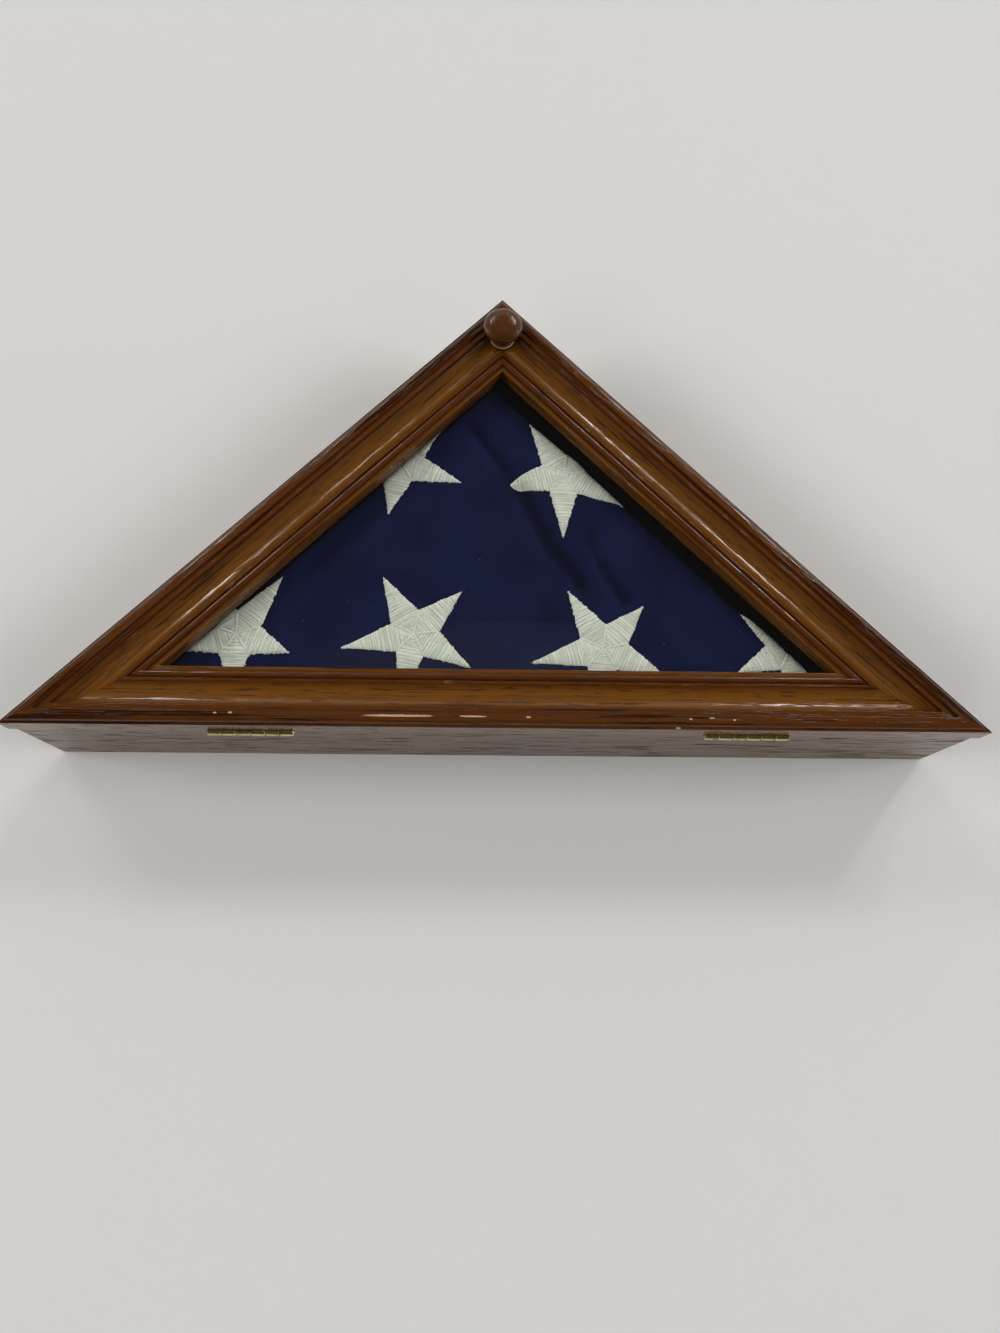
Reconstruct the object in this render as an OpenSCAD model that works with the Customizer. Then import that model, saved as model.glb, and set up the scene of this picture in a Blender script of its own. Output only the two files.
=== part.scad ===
// Triangular case for a folded flag, lying on its back: a mitred box with a glazed,
// moulded door that is hinged along the long side and pulled open at the apex.
// Everything is laid out from the door's long outer edge (y = 0) and its apex on +Y,
// then moved so that the origin is the middle of the bottom of the bounding box.

/* [Door] */
// Width of the door across its long base edge
door_w = 660; // [560:5:800]
// Height of the door's flat outer edge
door_edge_h = 18.6; // [17.6:0.2:24]
// Width of the moulded rail, from outer edge to sight edge
rail_w = 41.4; // [39:0.2:56]
// Width of the narrow fillet outside the rim
rim_fillet_w = 1.6; // [0.8:0.1:3]
// Radius of the quarter round that lifts the rim
rim_r = 3.6; // [2.4:0.1:4.5]
// Width of the rim's flat crest
crest_w = 4.4; // [2:0.1:6]
// Depth of the step inside the crest
step_drop = 1.8; // [1:0.1:2.6]
// Width of the step inside the crest
step_w = 4; // [2:0.1:6]
// Height of the cove's two arrises above the door's back
cove_top_h = 16.4; // [15.2:0.1:17.2]
// Depth of the cove below its arrises
cove_depth = 4.2; // [2.6:0.1:4.6]
// Width of the fillet between the cove and the inner bead
bead_fillet_w = 1.8; // [1:0.1:2.6]
// Width of the groove between the fillet and the inner bead
quirk_w = 0.6; // [0.4:0.1:1]
// Radius of the inner bead
bead_r = 2.3; // [1.6:0.1:2.6]
// Height of the bead's centre above the lip
bead_lift = 0.6; // [0:0.1:1.2]
// Width of the flat lip along the sight edge
lip_w = 3.4; // [2:0.1:5]
// Height of the lip's face above the door's back
lip_h = 14.6; // [13:0.1:15]
// Width of the rebate that holds the pane
rebate_w = 8; // [6.5:0.1:9]
// Height of the rebate that holds the pane
rebate_h = 8; // [7:0.1:9.5]
// Thickness of the glass pane
glass_t = 2.4; // [2:0.1:4]
// Space left around the edge of the pane
glass_fit = 0.5; // [0.3:0.1:1]
// Distance the glass stops stay back from the sight edge
stop_reveal = 0.8; // [0.4:0.1:2]
// Distance the glass stops stay above the door's back
stop_recess = 0.4; // [0.2:0.1:1]

/* [Case] */
// Depth of the case boards, from the rest face to the edge under the door
case_depth = 85.6; // [70:0.2:120]
// Thickness of the case boards
board_t = 12.7; // [11.8:0.1:19]
// Distance the door's edge stands out past the case boards
door_overhang = 1.2; // [0.8:0.1:2]
// Seam between the case boards and the door's back
seam_gap = 0.4; // [0.3:0.1:1]
// Thickness of the back panel
back_t = 5; // [3:0.5:9]
// Width of the rebate that holds the back panel
back_rebate_w = 6.4; // [4:0.1:8]
// Space left around the edge of the back panel
back_fit = 0.3; // [0.1:0.1:0.8]

/* [Hinges] */
// Distance between the middles of the two hinges
hinge_spacing = 337; // [200:1:400]
// Length of each hinge
hinge_l = 58.6; // [46:0.2:76]
// Knuckles in each hinge, shared evenly by its two leaves
knuckle_count = 6; // [4:2:8]
// Gap between neighbouring knuckles
knuckle_gap = 0.25; // [0.15:0.05:0.5]
// Radius of the hinge barrel
barrel_r = 2.6; // [2.2:0.1:3]
// Radius of the hinge pin
pin_r = 1.2; // [0.9:0.1:1.4]
// Radial clearance of the pin in its knuckles
pin_clear = 0.05; // [0.02:0.01:0.09]
// Distance of the hinge axis outside the door's flat edge
axis_out = 0.3; // [0.2:0.1:1]
// Thickness of each leaf
leaf_t = 1.2; // [1:0.1:1.6]
// Width of each leaf, from the hinge axis to its long edge
leaf_w = 12; // [10.5:0.1:12.3]
// Room in the wood around the barrel
barrel_room = 0.3; // [0.2:0.1:0.6]
// Slack around each leaf in its mortise
mortise_room = 0.1; // [0.05:0.05:0.3]
// Room in the wood past the ends of the barrel
barrel_end_room = 0.4; // [0.2:0.1:1]
// Screws in each leaf
leaf_screw_count = 3; // [2:1:3]
// Distance of the outer leaf screws from the hinge's ends
leaf_screw_in = 8; // [6:0.5:12]

/* [Knob] */
// Radius of the knob's head
knob_r = 14.2; // [11:0.1:18]
// Height of the knob above its seat
knob_h = 24.4; // [20:0.1:34]
// Radius of the dome that the top of the knob is turned to
knob_dome_r = 19.2; // [16:0.1:30]
// Thickness of the knob's head where it is widest
knob_head_h = 14.4; // [11:0.1:16]
// Radius of the knob's foot
knob_foot_r = 9.6; // [8:0.1:10.5]
// Height of the knob's foot
knob_foot_h = 3.4; // [2:0.1:5]
// Radius of the knob's neck
knob_neck_r = 7; // [5:0.1:8]
// Height of the flat seat above the bottom of the cove
knob_seat_lift = 1.2; // [0.6:0.1:2]
// Room around the knob's foot in its seat
knob_seat_room = 0.3; // [0.2:0.1:0.8]
// Depth of the knob screw in the knob
knob_screw_bite = 10; // [8:0.5:14]

/* [Catch] */
// Length of the magnetic catch along its board
catch_l = 46; // [42:1:60]
// Distance the catch stands out from its board
catch_t = 11; // [10:0.5:14]
// Height of the catch
catch_h = 13; // [12:0.5:20]
// Length of the catch's middle block
catch_block_l = 30; // [28:1:34]
// Thickness of the catch's two ears
catch_ear_t = 4; // [3:0.5:6]
// Distance of the catch from the inner corner of the apex
catch_corner_gap = 16; // [14:1:40]
// Length of the magnet
magnet_l = 24; // [18:1:25]
// Thickness of the magnet
magnet_t = 5; // [4:0.2:5.2]
// Thickness of the two pole plates
pole_t = 1.2; // [1:0.1:1.4]
// Depth of the pocket for magnet and pole plates
pocket_h = 10; // [8:0.5:11]
// Distance the pole plates stand out of the catch
pole_proud = 0.2; // [0.1:0.05:0.4]
// Gap between the pole plates and the strike plate
catch_gap = 0.3; // [0.2:0.1:0.6]
// Length of the strike plate
strike_l = 40; // [36:1:46]
// Width of the strike plate
strike_w = 10; // [8:0.5:10.5]
// Thickness of the strike plate
strike_t = 1.2; // [1:0.1:2]
// Distance between the two strike plate screws
strike_screw_spacing = 30; // [26:1:31]

/* [Fixings] */
// Radius of the brads
brad_r = 0.6; // [0.4:0.05:0.8]
// Length of the brads across the case mitres
case_brad_l = 19; // [16:0.5:20]
// Length of the brads across the door mitres
door_brad_l = 30; // [24:0.5:32]
// Length of the brads in the back panel
back_brad_l = 16; // [12:0.5:22]
// Length of the brads in the glass stops
stop_brad_l = 13; // [11:0.5:15]
// Brads along each side of the back panel and of each glass stop
brads_per_side = 3; // [2:1:5]
// Depth of the brad heads below the surface
brad_set = 0.8; // [0.4:0.1:1.5]
// Radius of the screws in the hinge leaves, catch and strike plate
screw_r = 1.25; // [1:0.05:1.4]
// Radius of those screws' countersunk heads
screw_head_r = 2.4; // [2.1:0.05:2.6]
// Length of those screws
screw_l = 10; // [8:0.5:11]
// Radius of the knob screw
knob_screw_r = 2.1; // [1.8:0.1:2.6]
// Radius of the knob screw's countersunk head
knob_screw_head_r = 4; // [3.6:0.1:4.6]
// Radial clearance of brads and screws in their holes
fixing_fit = 0.05; // [0.03:0.01:0.1]
// Width of the slots in the screw heads
slot_w = 0.6; // [0.5:0.05:0.8]
// Depth of the slots in the screw heads
slot_depth = 0.4; // [0.2:0.05:0.6]

/* [Flag] */
// Air between the flag's upper face and the glass
flag_glass_gap = 7; // [5:0.5:20]
// Space between the flag and the base board
flag_base_gap = 1.5; // [0.5:0.5:8]
// Space between the flag and the catch
flag_catch_gap = 2; // [1:0.5:10]
// Radius of the flag's folded edges and corners
flag_edge_r = 14; // [8:1:20]

/* [Hidden] */
$fn = 48;

// Sides of the triangle: the base, then the right and the left leg
BASE = "base";
RIGHT = "right";
LEFT = "left";
// Corner angles of the triangle and how far a corner draws in when its sides are inset
CORNER_ANGLE = 45;
APEX_ANGLE = 90;
corner_draw = 1 / tan(CORNER_ANGLE / 2);
apex_draw = 1 / sin(APEX_ANGLE / 2);
half_w = door_w / 2;
leg_l = half_w / sin(CORNER_ANGLE);
side_turn = 180 - CORNER_ANGLE;

// Extra length of cutting shapes past the faces that they cut
over = 1;

// Levels
door_z = case_depth + seam_gap;
axis_z = case_depth + seam_gap / 2;
glass_z = door_z + rebate_h - glass_t;
flag_top_z = glass_z - flag_glass_gap;
strike_z = door_z - strike_t;
catch_top_z = strike_z - catch_gap - pole_proud;

// Insets from the door's outer edge
board_in = door_overhang + board_t;
rebate_in = rail_w - rebate_w;
back_in = board_in - back_rebate_w;

// Moulding: places across the rail
rim_w = rim_fillet_w + rim_r + crest_w;
cove_in = rim_w + step_w;
bead_in = rail_w - lip_w - 2 * bead_r;
cove_w = bead_in - quirk_w - bead_fillet_w - cove_in;
cove_r = cove_w * cove_w / (8 * cove_depth) + cove_depth / 2;
cove_mid = cove_in + cove_w / 2;
bead_z = lip_h + bead_lift;
rail_h = door_edge_h + rim_r;

// Hinges
axis_y = -axis_out;
leaf_inner_y = axis_y + barrel_r + barrel_room;
leaf_outer_y = axis_y + leaf_w;
leaf_screw_y = (leaf_inner_y + leaf_outer_y) / 2;
knuckle_l = hinge_l / knuckle_count;
leaf_screw_step = (hinge_l - 2 * leaf_screw_in) / (leaf_screw_count - 1);

// Knob, on the apex mitre over the middle of the cove
knob_y = half_w - cove_mid * apex_draw;
knob_seat_h = cove_top_h - cove_depth + knob_seat_lift;
knob_seat_z = door_z + knob_seat_h;
knob_head_r = knob_head_h / 2;
knob_screw_l = knob_seat_h + knob_screw_bite - brad_set;

// Catch, on the right board near the apex
catch_mid = leg_l - board_in - catch_corner_gap - catch_l / 2;
catch_off = board_in + catch_t / 2;
ear_screw_x = (catch_l + catch_block_l) / 4;
ear_screw_z = catch_top_z - catch_h / 2;
pocket_t = magnet_t + 2 * pole_t;

// Brads across the mitres: share of the board's or rail's width at which they cross the joint
CASE_CROSSING = 0.8;
DOOR_CROSSING = 0.4;
DOOR_APEX_CROSSING = 0.34;
// Heights of the case brads, as shares of the case's depth
CASE_BRAD_LEVELS = [0.28, 0.72];
stop_brad_z = door_z + (stop_recess + rebate_h - glass_t) / 2;

// Flag, inset more along the legs to clear the catch
flag_base_in = board_in + flag_base_gap;
flag_leg_in = board_in + catch_t + flag_catch_gap;

// Bounding box in plan, for the origin
front_y = axis_y - barrel_r;
origin_y = (front_y + half_w) / 2;

// Corner k of the door's triangle when all its sides are inset by d
function corner(k, d) =
    k == 0 ? [-(half_w - d * corner_draw), d] :
    k == 1 ? [half_w - d * corner_draw, d] :
    [0, half_w - d * apex_draw];

// Corner at which a side starts
function first_corner(side) = side == BASE ? 0 : side == RIGHT ? 1 : 2;

function side_length(side) = side == BASE ? door_w : leg_l;

// How far a side starts, and ends, from the triangle's corners at inset d
function start_draw(side, d) = d * (side == LEFT ? 1 : corner_draw);
function end_draw(side, d) = d * (side == RIGHT ? 1 : corner_draw);

// Place i of n, evenly spaced along a side at inset d, with a half step at each end
function along(side, d, i, n) =
    start_draw(side, d) +
    (side_length(side) - start_draw(side, d) - end_draw(side, d)) * (i + 0.5) / n;

// Moves the finished piece so that the origin is under the middle of the bounding box
module placed() {
    translate([0, -origin_y, 0]) children();
}

// Frame of one side: x along its outer edge, y inwards
module on_side(side) {
    if (side == BASE) translate([-half_w, 0, 0]) children();
    if (side == RIGHT) translate([half_w, 0, 0]) rotate([0, 0, side_turn]) children();
    if (side == LEFT) translate([0, half_w, 0]) rotate([0, 0, -side_turn]) children();
}

module triangle(d) {
    polygon([corner(0, d), corner(1, d), corner(2, d)]);
}

// Mitred strip of one side, between two insets
module mitred_strip(side, outer, inner) {
    first = first_corner(side);
    next = (first + 1) % 3;
    polygon([corner(first, outer), corner(next, outer), corner(next, inner), corner(first, inner)]);
}

// Countersunk screw along +Z with its head's face at z = 0
module screw(r, head_r, l) {
    difference() {
        union() {
            cylinder(r = r, h = l);
            cylinder(r1 = head_r, r2 = r, h = head_r - r);
        }
        cube([3 * head_r, slot_w, 2 * slot_depth], center = true);
    }
}

module screw_hole(r, head_r, l) {
    cylinder(r = r + fixing_fit, h = l + fixing_fit);
    cylinder(r1 = head_r + fixing_fit, r2 = r + fixing_fit, h = head_r - r);
    translate([0, 0, -over]) cylinder(r = head_r + fixing_fit, h = over + fixing_fit);
}

module small_screw() {
    screw(screw_r, screw_head_r, screw_l);
}

module small_screw_hole() {
    screw_hole(screw_r, screw_head_r, screw_l);
}

// Brad along +Z whose hole's mouth is at z = 0
module brad(l) {
    translate([0, 0, brad_set]) cylinder(r = brad_r, h = l);
}

module brad_hole(l) {
    translate([0, 0, -over]) cylinder(r = brad_r + fixing_fit, h = over + brad_set + l + fixing_fit);
}

// ---- Places of the fixings: each puts its children where one fixing goes ----

module at_back_brads() {
    for (side = [BASE, RIGHT, LEFT], i = [0 : brads_per_side - 1])
        on_side(side)
            translate([along(side, board_in, i, brads_per_side), back_in + back_rebate_w / 2, 0])
                children();
}

// Brads across the case mitres, driven inwards from the outer faces
module at_case_brads() {
    crossing = CASE_CROSSING * board_in * corner_draw;
    for (level = CASE_BRAD_LEVELS) {
        for (x = [crossing, door_w - crossing])
            on_side(BASE) translate([x, door_overhang, level * case_depth])
                rotate([-90, 0, 0]) children();
        on_side(LEFT) translate([door_overhang + board_t / 2, door_overhang, level * case_depth])
            rotate([-90, 0, 0]) children();
    }
}

// Brads across the door mitres, driven inwards from the flat outer edge
module at_door_brads() {
    crossing = DOOR_CROSSING * rail_w * corner_draw;
    brad_z = door_z + door_edge_h / 2;
    for (x = [crossing, door_w - crossing])
        on_side(BASE) translate([x, 0, brad_z]) rotate([-90, 0, 0]) children();
    on_side(LEFT) translate([DOOR_APEX_CROSSING * rail_w, 0, brad_z])
        rotate([-90, 0, 0]) children();
}

// Brads through one glass stop into the wall of the rebate
module at_stop_brads(side) {
    for (i = [0 : brads_per_side - 1])
        on_side(side)
            translate([along(side, rail_w, i, brads_per_side), rail_w - stop_reveal, stop_brad_z])
                rotate([90, 0, 0]) children();
}

module at_hinges() {
    for (x = [-1, 1]) translate([x * hinge_spacing / 2, 0, 0]) children();
}

module at_leaf_screws() {
    for (i = [0 : leaf_screw_count - 1])
        translate([-hinge_l / 2 + leaf_screw_in + i * leaf_screw_step, leaf_screw_y, 0]) children();
}

// Screws of the case leaves point down, those of the door leaves up
module at_case_leaf_screws() {
    at_hinges() at_leaf_screws() translate([0, 0, case_depth]) rotate([180, 0, 0]) children();
}

module at_door_leaf_screws() {
    at_hinges() at_leaf_screws() translate([0, 0, door_z]) children();
}

module at_catch() {
    on_side(RIGHT) translate([catch_mid, 0, 0]) children();
}

module at_ear_screws() {
    at_catch() for (x = [-1, 1])
        translate([x * ear_screw_x, board_in + catch_ear_t, ear_screw_z])
            rotate([90, 0, 0]) children();
}

module at_strike_screws() {
    at_catch() for (x = [-1, 1])
        translate([x * strike_screw_spacing / 2, catch_off, strike_z]) children();
}

module at_knob() {
    translate([0, knob_y, 0]) children();
}

// ---- Hinge ----

// Recess for one leaf, from the seam's face at z = 0 upwards
module leaf_mortise() {
    translate([-hinge_l / 2 - mortise_room, -over, -over])
        cube([hinge_l + 2 * mortise_room, leaf_outer_y + mortise_room + over, leaf_t + over]);
}

// Room for the barrel and its swing
module barrel_groove() {
    l = hinge_l + 2 * barrel_end_room;
    translate([-l / 2, axis_y, axis_z]) rotate([0, 90, 0])
        cylinder(r = barrel_r + barrel_room, h = l);
}

// Knuckles number first, first + 2, ... of one hinge with their tongues
module knuckles(first, tongue_z) {
    l = knuckle_l - knuckle_gap;
    for (i = [first : 2 : knuckle_count - 1])
        translate([-hinge_l / 2 + i * knuckle_l + knuckle_gap / 2, 0, 0]) {
            translate([0, axis_y, axis_z]) rotate([0, 90, 0]) cylinder(r = barrel_r, h = l);
            translate([0, axis_y, tongue_z])
                cube([l, leaf_inner_y - axis_y + mortise_room, leaf_t]);
        }
}

// One leaf with its knuckles: leaf_z is the plate's lower face
module leaf(first, leaf_z) {
    color("#b08d3c") difference() {
        union() {
            translate([-hinge_l / 2, leaf_inner_y, leaf_z])
                cube([hinge_l, leaf_outer_y - leaf_inner_y, leaf_t]);
            knuckles(first, leaf_z);
        }
        translate([-hinge_l / 2 - over, axis_y, axis_z]) rotate([0, 90, 0])
            cylinder(r = pin_r + pin_clear, h = hinge_l + 2 * over);
        children();
    }
}

module case_leaf() {
    leaf(0, case_depth - leaf_t)
        at_leaf_screws() translate([0, 0, case_depth]) rotate([180, 0, 0]) small_screw_hole();
}

module door_leaf() {
    leaf(1, door_z) at_leaf_screws() translate([0, 0, door_z]) small_screw_hole();
}

module hinge_pin() {
    color("#a8873a") translate([-hinge_l / 2, axis_y, axis_z]) rotate([0, 90, 0])
        cylinder(r = pin_r, h = hinge_l);
}

// ---- Case ----

module board(side) {
    difference() {
        linear_extrude(case_depth) mitred_strip(side, door_overhang, board_in);
        translate([0, 0, -over]) linear_extrude(back_t + over) triangle(back_in);
        at_back_brads() brad_hole(back_brad_l);
        at_case_brads() brad_hole(case_brad_l);
    }
}

module base_board() {
    placed() color("#6f4a2c") difference() {
        board(BASE);
        at_hinges() translate([0, 0, case_depth]) mirror([0, 0, 1]) leaf_mortise();
        at_hinges() barrel_groove();
        at_case_leaf_screws() small_screw_hole();
    }
}

module left_board() {
    placed() color("#6f4a2c") board(LEFT);
}

module right_board() {
    placed() color("#6f4a2c") difference() {
        board(RIGHT);
        at_ear_screws() small_screw_hole();
    }
}

module back_panel() {
    placed() color("#b58a5a") difference() {
        linear_extrude(back_t) triangle(back_in + back_fit);
        at_back_brads() brad_hole(back_brad_l);
    }
}

module back_panel_brads() {
    placed() color("silver") at_back_brads() brad(back_brad_l);
}

module case_corner_brads() {
    placed() color("silver") at_case_brads() brad(case_brad_l);
}

module left_hinge_case_leaf() {
    placed() translate([-hinge_spacing / 2, 0, 0]) case_leaf();
}

module right_hinge_case_leaf() {
    placed() translate([hinge_spacing / 2, 0, 0]) case_leaf();
}

module left_hinge_pin() {
    placed() translate([-hinge_spacing / 2, 0, 0]) hinge_pin();
}

module right_hinge_pin() {
    placed() translate([hinge_spacing / 2, 0, 0]) hinge_pin();
}

module case_leaf_screws() {
    placed() color("#b08d3c") at_case_leaf_screws() small_screw();
}

// ---- Catch ----

module catch_housing() {
    placed() color("#3a2a20") difference() {
        at_catch() translate([0, board_in, catch_top_z - catch_h]) {
            translate([-catch_block_l / 2, 0, 0]) cube([catch_block_l, catch_t, catch_h]);
            translate([-catch_l / 2, 0, 0]) cube([catch_l, catch_ear_t, catch_h]);
        }
        at_catch() translate([-magnet_l / 2, catch_off - pocket_t / 2, catch_top_z - pocket_h])
            cube([magnet_l, pocket_t, pocket_h + over]);
        at_ear_screws() small_screw_hole();
    }
}

module catch_magnet() {
    placed() color("#2b2b2b") at_catch()
        translate([-magnet_l / 2, catch_off - magnet_t / 2, catch_top_z - pocket_h])
            cube([magnet_l, magnet_t, pocket_h]);
}

module catch_pole_plates() {
    placed() color("silver") at_catch() for (y = [-pocket_t / 2, magnet_t / 2])
        translate([-magnet_l / 2, catch_off + y, catch_top_z - pocket_h])
            cube([magnet_l, pole_t, pocket_h + pole_proud]);
}

module catch_screws() {
    placed() color("silver") at_ear_screws() small_screw();
}

module strike_plate() {
    placed() color("silver") difference() {
        at_catch() translate([-strike_l / 2, catch_off - strike_w / 2, strike_z])
            cube([strike_l, strike_w, strike_t]);
        at_strike_screws() small_screw_hole();
    }
}

module strike_screws() {
    placed() color("silver") at_strike_screws() small_screw();
}

// ---- Flag: a triangular pack with rounded folds ----

// Centre of the fold at corner k, in plan
function flag_centre(k) =
    let (top = half_w - (flag_leg_in + flag_edge_r) * apex_draw, low = flag_base_in + flag_edge_r)
    k == 2 ? [0, top] : [(k == 0 ? -1 : 1) * (top - low), low];

module folded_flag() {
    placed() color("#1f2440") hull()
        for (k = [0 : 2], z = [back_t + flag_edge_r, flag_top_z - flag_edge_r])
            translate([flag_centre(k)[0], flag_centre(k)[1], z]) sphere(r = flag_edge_r, $fn = 32);
}

// ---- Door ----

// What a quarter round of radius r takes off an upper left corner, from where it springs
module round_over(r) {
    difference() {
        translate([-over, 0]) square([r + over, r + over]);
        translate([r, 0]) circle(r = r);
    }
}

// Section of the moulding: x inwards from the outer edge, y up from the door's back
module rail_section() {
    difference() {
        polygon([[0, 0], [0, door_edge_h], [rim_fillet_w, door_edge_h], [rim_fillet_w, rail_h],
            [rim_w, rail_h], [rim_w, rail_h - step_drop], [cove_in, rail_h - step_drop],
            [cove_in, cove_top_h], [bead_in - quirk_w, cove_top_h], [bead_in - quirk_w, bead_z],
            [bead_in, bead_z], [bead_in, bead_z + bead_r], [rail_w - lip_w, bead_z + bead_r],
            [rail_w - lip_w, lip_h], [rail_w, lip_h], [rail_w, rebate_h], [rebate_in, rebate_h],
            [rebate_in, 0]]);
        translate([rim_fillet_w, door_edge_h]) round_over(rim_r);
        intersection() {
            translate([cove_mid, cove_top_h - cove_depth + cove_r]) circle(r = cove_r);
            translate([cove_in, 0]) square([cove_w, rail_h]);
        }
        translate([bead_in, bead_z]) round_over(bead_r);
        translate([rail_w - lip_w, bead_z]) mirror([1, 0]) round_over(bead_r);
    }
}

module rail(side) {
    difference() {
        intersection() {
            on_side(side) translate([-over, 0, door_z]) rotate([90, 0, 90])
                linear_extrude(side_length(side) + 2 * over) rail_section();
            translate([0, 0, door_z - over]) linear_extrude(rail_h + 2 * over)
                mitred_strip(side, -over, rail_w + over);
        }
        at_door_brads() brad_hole(door_brad_l);
        at_stop_brads(side) brad_hole(stop_brad_l);
    }
}

// Flat seat under the knob's foot and the hole for its screw
module knob_cut() {
    at_knob() {
        translate([0, 0, knob_seat_z]) cylinder(r = knob_foot_r + knob_seat_room, h = rail_h);
        translate([0, 0, door_z + brad_set])
            screw_hole(knob_screw_r, knob_screw_head_r, knob_screw_l);
    }
}

module door_base_rail() {
    placed() color("#70481f") difference() {
        rail(BASE);
        at_hinges() translate([0, 0, door_z]) leaf_mortise();
        at_hinges() barrel_groove();
        at_door_leaf_screws() small_screw_hole();
    }
}

module door_left_rail() {
    placed() color("#70481f") difference() {
        rail(LEFT);
        knob_cut();
    }
}

module door_right_rail() {
    placed() color("#70481f") difference() {
        rail(RIGHT);
        knob_cut();
        at_strike_screws() small_screw_hole();
    }
}

module door_corner_brads() {
    placed() color("silver") at_door_brads() brad(door_brad_l);
}

module glass_pane() {
    placed() color("lightblue", 0.3) translate([0, 0, glass_z]) linear_extrude(glass_t)
        triangle(rebate_in + glass_fit);
}

module glass_stop(side) {
    placed() color("#5c3a1c") difference() {
        translate([0, 0, door_z + stop_recess]) linear_extrude(glass_z - door_z - stop_recess)
            mitred_strip(side, rebate_in, rail_w - stop_reveal);
        at_stop_brads(side) brad_hole(stop_brad_l);
    }
}

module base_glass_stop() {
    glass_stop(BASE);
}

module left_glass_stop() {
    glass_stop(LEFT);
}

module right_glass_stop() {
    glass_stop(RIGHT);
}

module glass_stop_brads() {
    placed() color("silver") for (side = [BASE, RIGHT, LEFT]) at_stop_brads(side) brad(stop_brad_l);
}

module left_hinge_door_leaf() {
    placed() translate([-hinge_spacing / 2, 0, 0]) door_leaf();
}

module right_hinge_door_leaf() {
    placed() translate([hinge_spacing / 2, 0, 0]) door_leaf();
}

module door_leaf_screws() {
    placed() color("#b08d3c") at_door_leaf_screws() small_screw();
}

// ---- Knob ----

// Section of the knob, right of its axis and up from its seat
module knob_section() {
    rim_z = knob_h - knob_head_r;
    intersection() {
        union() {
            square([knob_foot_r, knob_foot_h]);
            square([knob_neck_r, rim_z]);
            translate([0, rim_z - knob_head_r]) square([knob_r - knob_head_r, knob_head_h]);
            translate([knob_r - knob_head_r, rim_z]) circle(r = knob_head_r);
        }
        translate([0, knob_h - knob_dome_r]) circle(r = knob_dome_r);
        square([knob_r + over, knob_h]);
    }
    square([knob_foot_r, knob_foot_h]);
}

module knob() {
    placed() color("#4d2c16") at_knob() difference() {
        translate([0, 0, knob_seat_z]) rotate_extrude() knob_section();
        translate([0, 0, door_z + brad_set])
            screw_hole(knob_screw_r, knob_screw_head_r, knob_screw_l);
    }
}

module knob_screw() {
    placed() color("silver") at_knob() translate([0, 0, door_z + brad_set])
        screw(knob_screw_r, knob_screw_head_r, knob_screw_l);
}

base_board();
left_board();
right_board();
back_panel();
back_panel_brads();
case_corner_brads();
left_hinge_case_leaf();
right_hinge_case_leaf();
left_hinge_pin();
right_hinge_pin();
case_leaf_screws();
catch_housing();
catch_magnet();
catch_pole_plates();
catch_screws();
folded_flag();
door_base_rail();
door_left_rail();
door_right_rail();
door_corner_brads();
glass_pane();
base_glass_stop();
left_glass_stop();
right_glass_stop();
glass_stop_brads();
left_hinge_door_leaf();
right_hinge_door_leaf();
door_leaf_screws();
knob();
knob_screw();
strike_plate();
strike_screws();
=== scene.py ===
"""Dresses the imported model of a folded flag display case: stained mouldings and boards, brass hinges,
a turned knob, the glazed pane and the folded cotton flag with its embroidered stars."""

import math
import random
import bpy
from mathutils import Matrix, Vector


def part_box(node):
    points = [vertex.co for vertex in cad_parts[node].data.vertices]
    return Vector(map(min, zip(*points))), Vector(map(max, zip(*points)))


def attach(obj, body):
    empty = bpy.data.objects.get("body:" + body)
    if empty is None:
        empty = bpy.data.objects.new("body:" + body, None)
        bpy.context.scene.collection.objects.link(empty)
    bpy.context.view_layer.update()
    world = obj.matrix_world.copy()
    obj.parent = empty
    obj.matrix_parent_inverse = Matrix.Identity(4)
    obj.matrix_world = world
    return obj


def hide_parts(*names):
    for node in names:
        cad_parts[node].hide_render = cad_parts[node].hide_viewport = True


bl_info = {
    "name": "Folded Flag Display Case",
    "version": (1, 0, 0),
    "blender": (4, 5, 0),
    "location": "View3D > Sidebar > Flag Case",
    "description": "Builds the finished surfaces of a hinged, glazed case for a folded flag",
    "category": "Object",
}

import bmesh
import bpy
from bpy.props import FloatProperty, FloatVectorProperty, IntProperty, PointerProperty
from mathutils import Matrix, Vector, noise

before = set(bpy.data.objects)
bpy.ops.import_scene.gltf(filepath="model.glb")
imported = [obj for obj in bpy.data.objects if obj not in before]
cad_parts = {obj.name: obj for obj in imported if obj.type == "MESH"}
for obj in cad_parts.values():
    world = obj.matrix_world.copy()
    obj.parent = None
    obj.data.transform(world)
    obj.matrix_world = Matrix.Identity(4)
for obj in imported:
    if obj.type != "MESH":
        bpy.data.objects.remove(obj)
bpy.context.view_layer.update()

MM = 0.001

# Sides of the triangle: the long base, then the right and the left leg
BASE, RIGHT, LEFT = 0, 1, 2
SIDE_NAMES = ("base", "right", "left")
SIDE_TURNS = (0.0, math.radians(135), math.radians(-135))
CORNER_DRAW = 1 / math.tan(math.radians(22.5))
APEX_DRAW = math.sqrt(2)

# The case as packed: half the door's width, the y of its long outer edge and its levels
HALF_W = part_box("door_base_rail")[1].x
EDGE_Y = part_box("door_base_rail")[0].y
DOOR_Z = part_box("door_base_rail")[0].z
CASE_TOP_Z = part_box("base_board")[1].z
APEX_Y = EDGE_Y + HALF_W


# ---- Settings -------------------------------------------------------------------------------


def length(name, description, millimetres):
    return FloatProperty(name=name, description=description, default=millimetres * MM,
                         unit="LENGTH", subtype="DISTANCE", precision=5)


def colour(name, description, value):
    return FloatVectorProperty(name=name, description=description, default=value, size=3,
                               subtype="COLOR", min=0, max=1)


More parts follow.
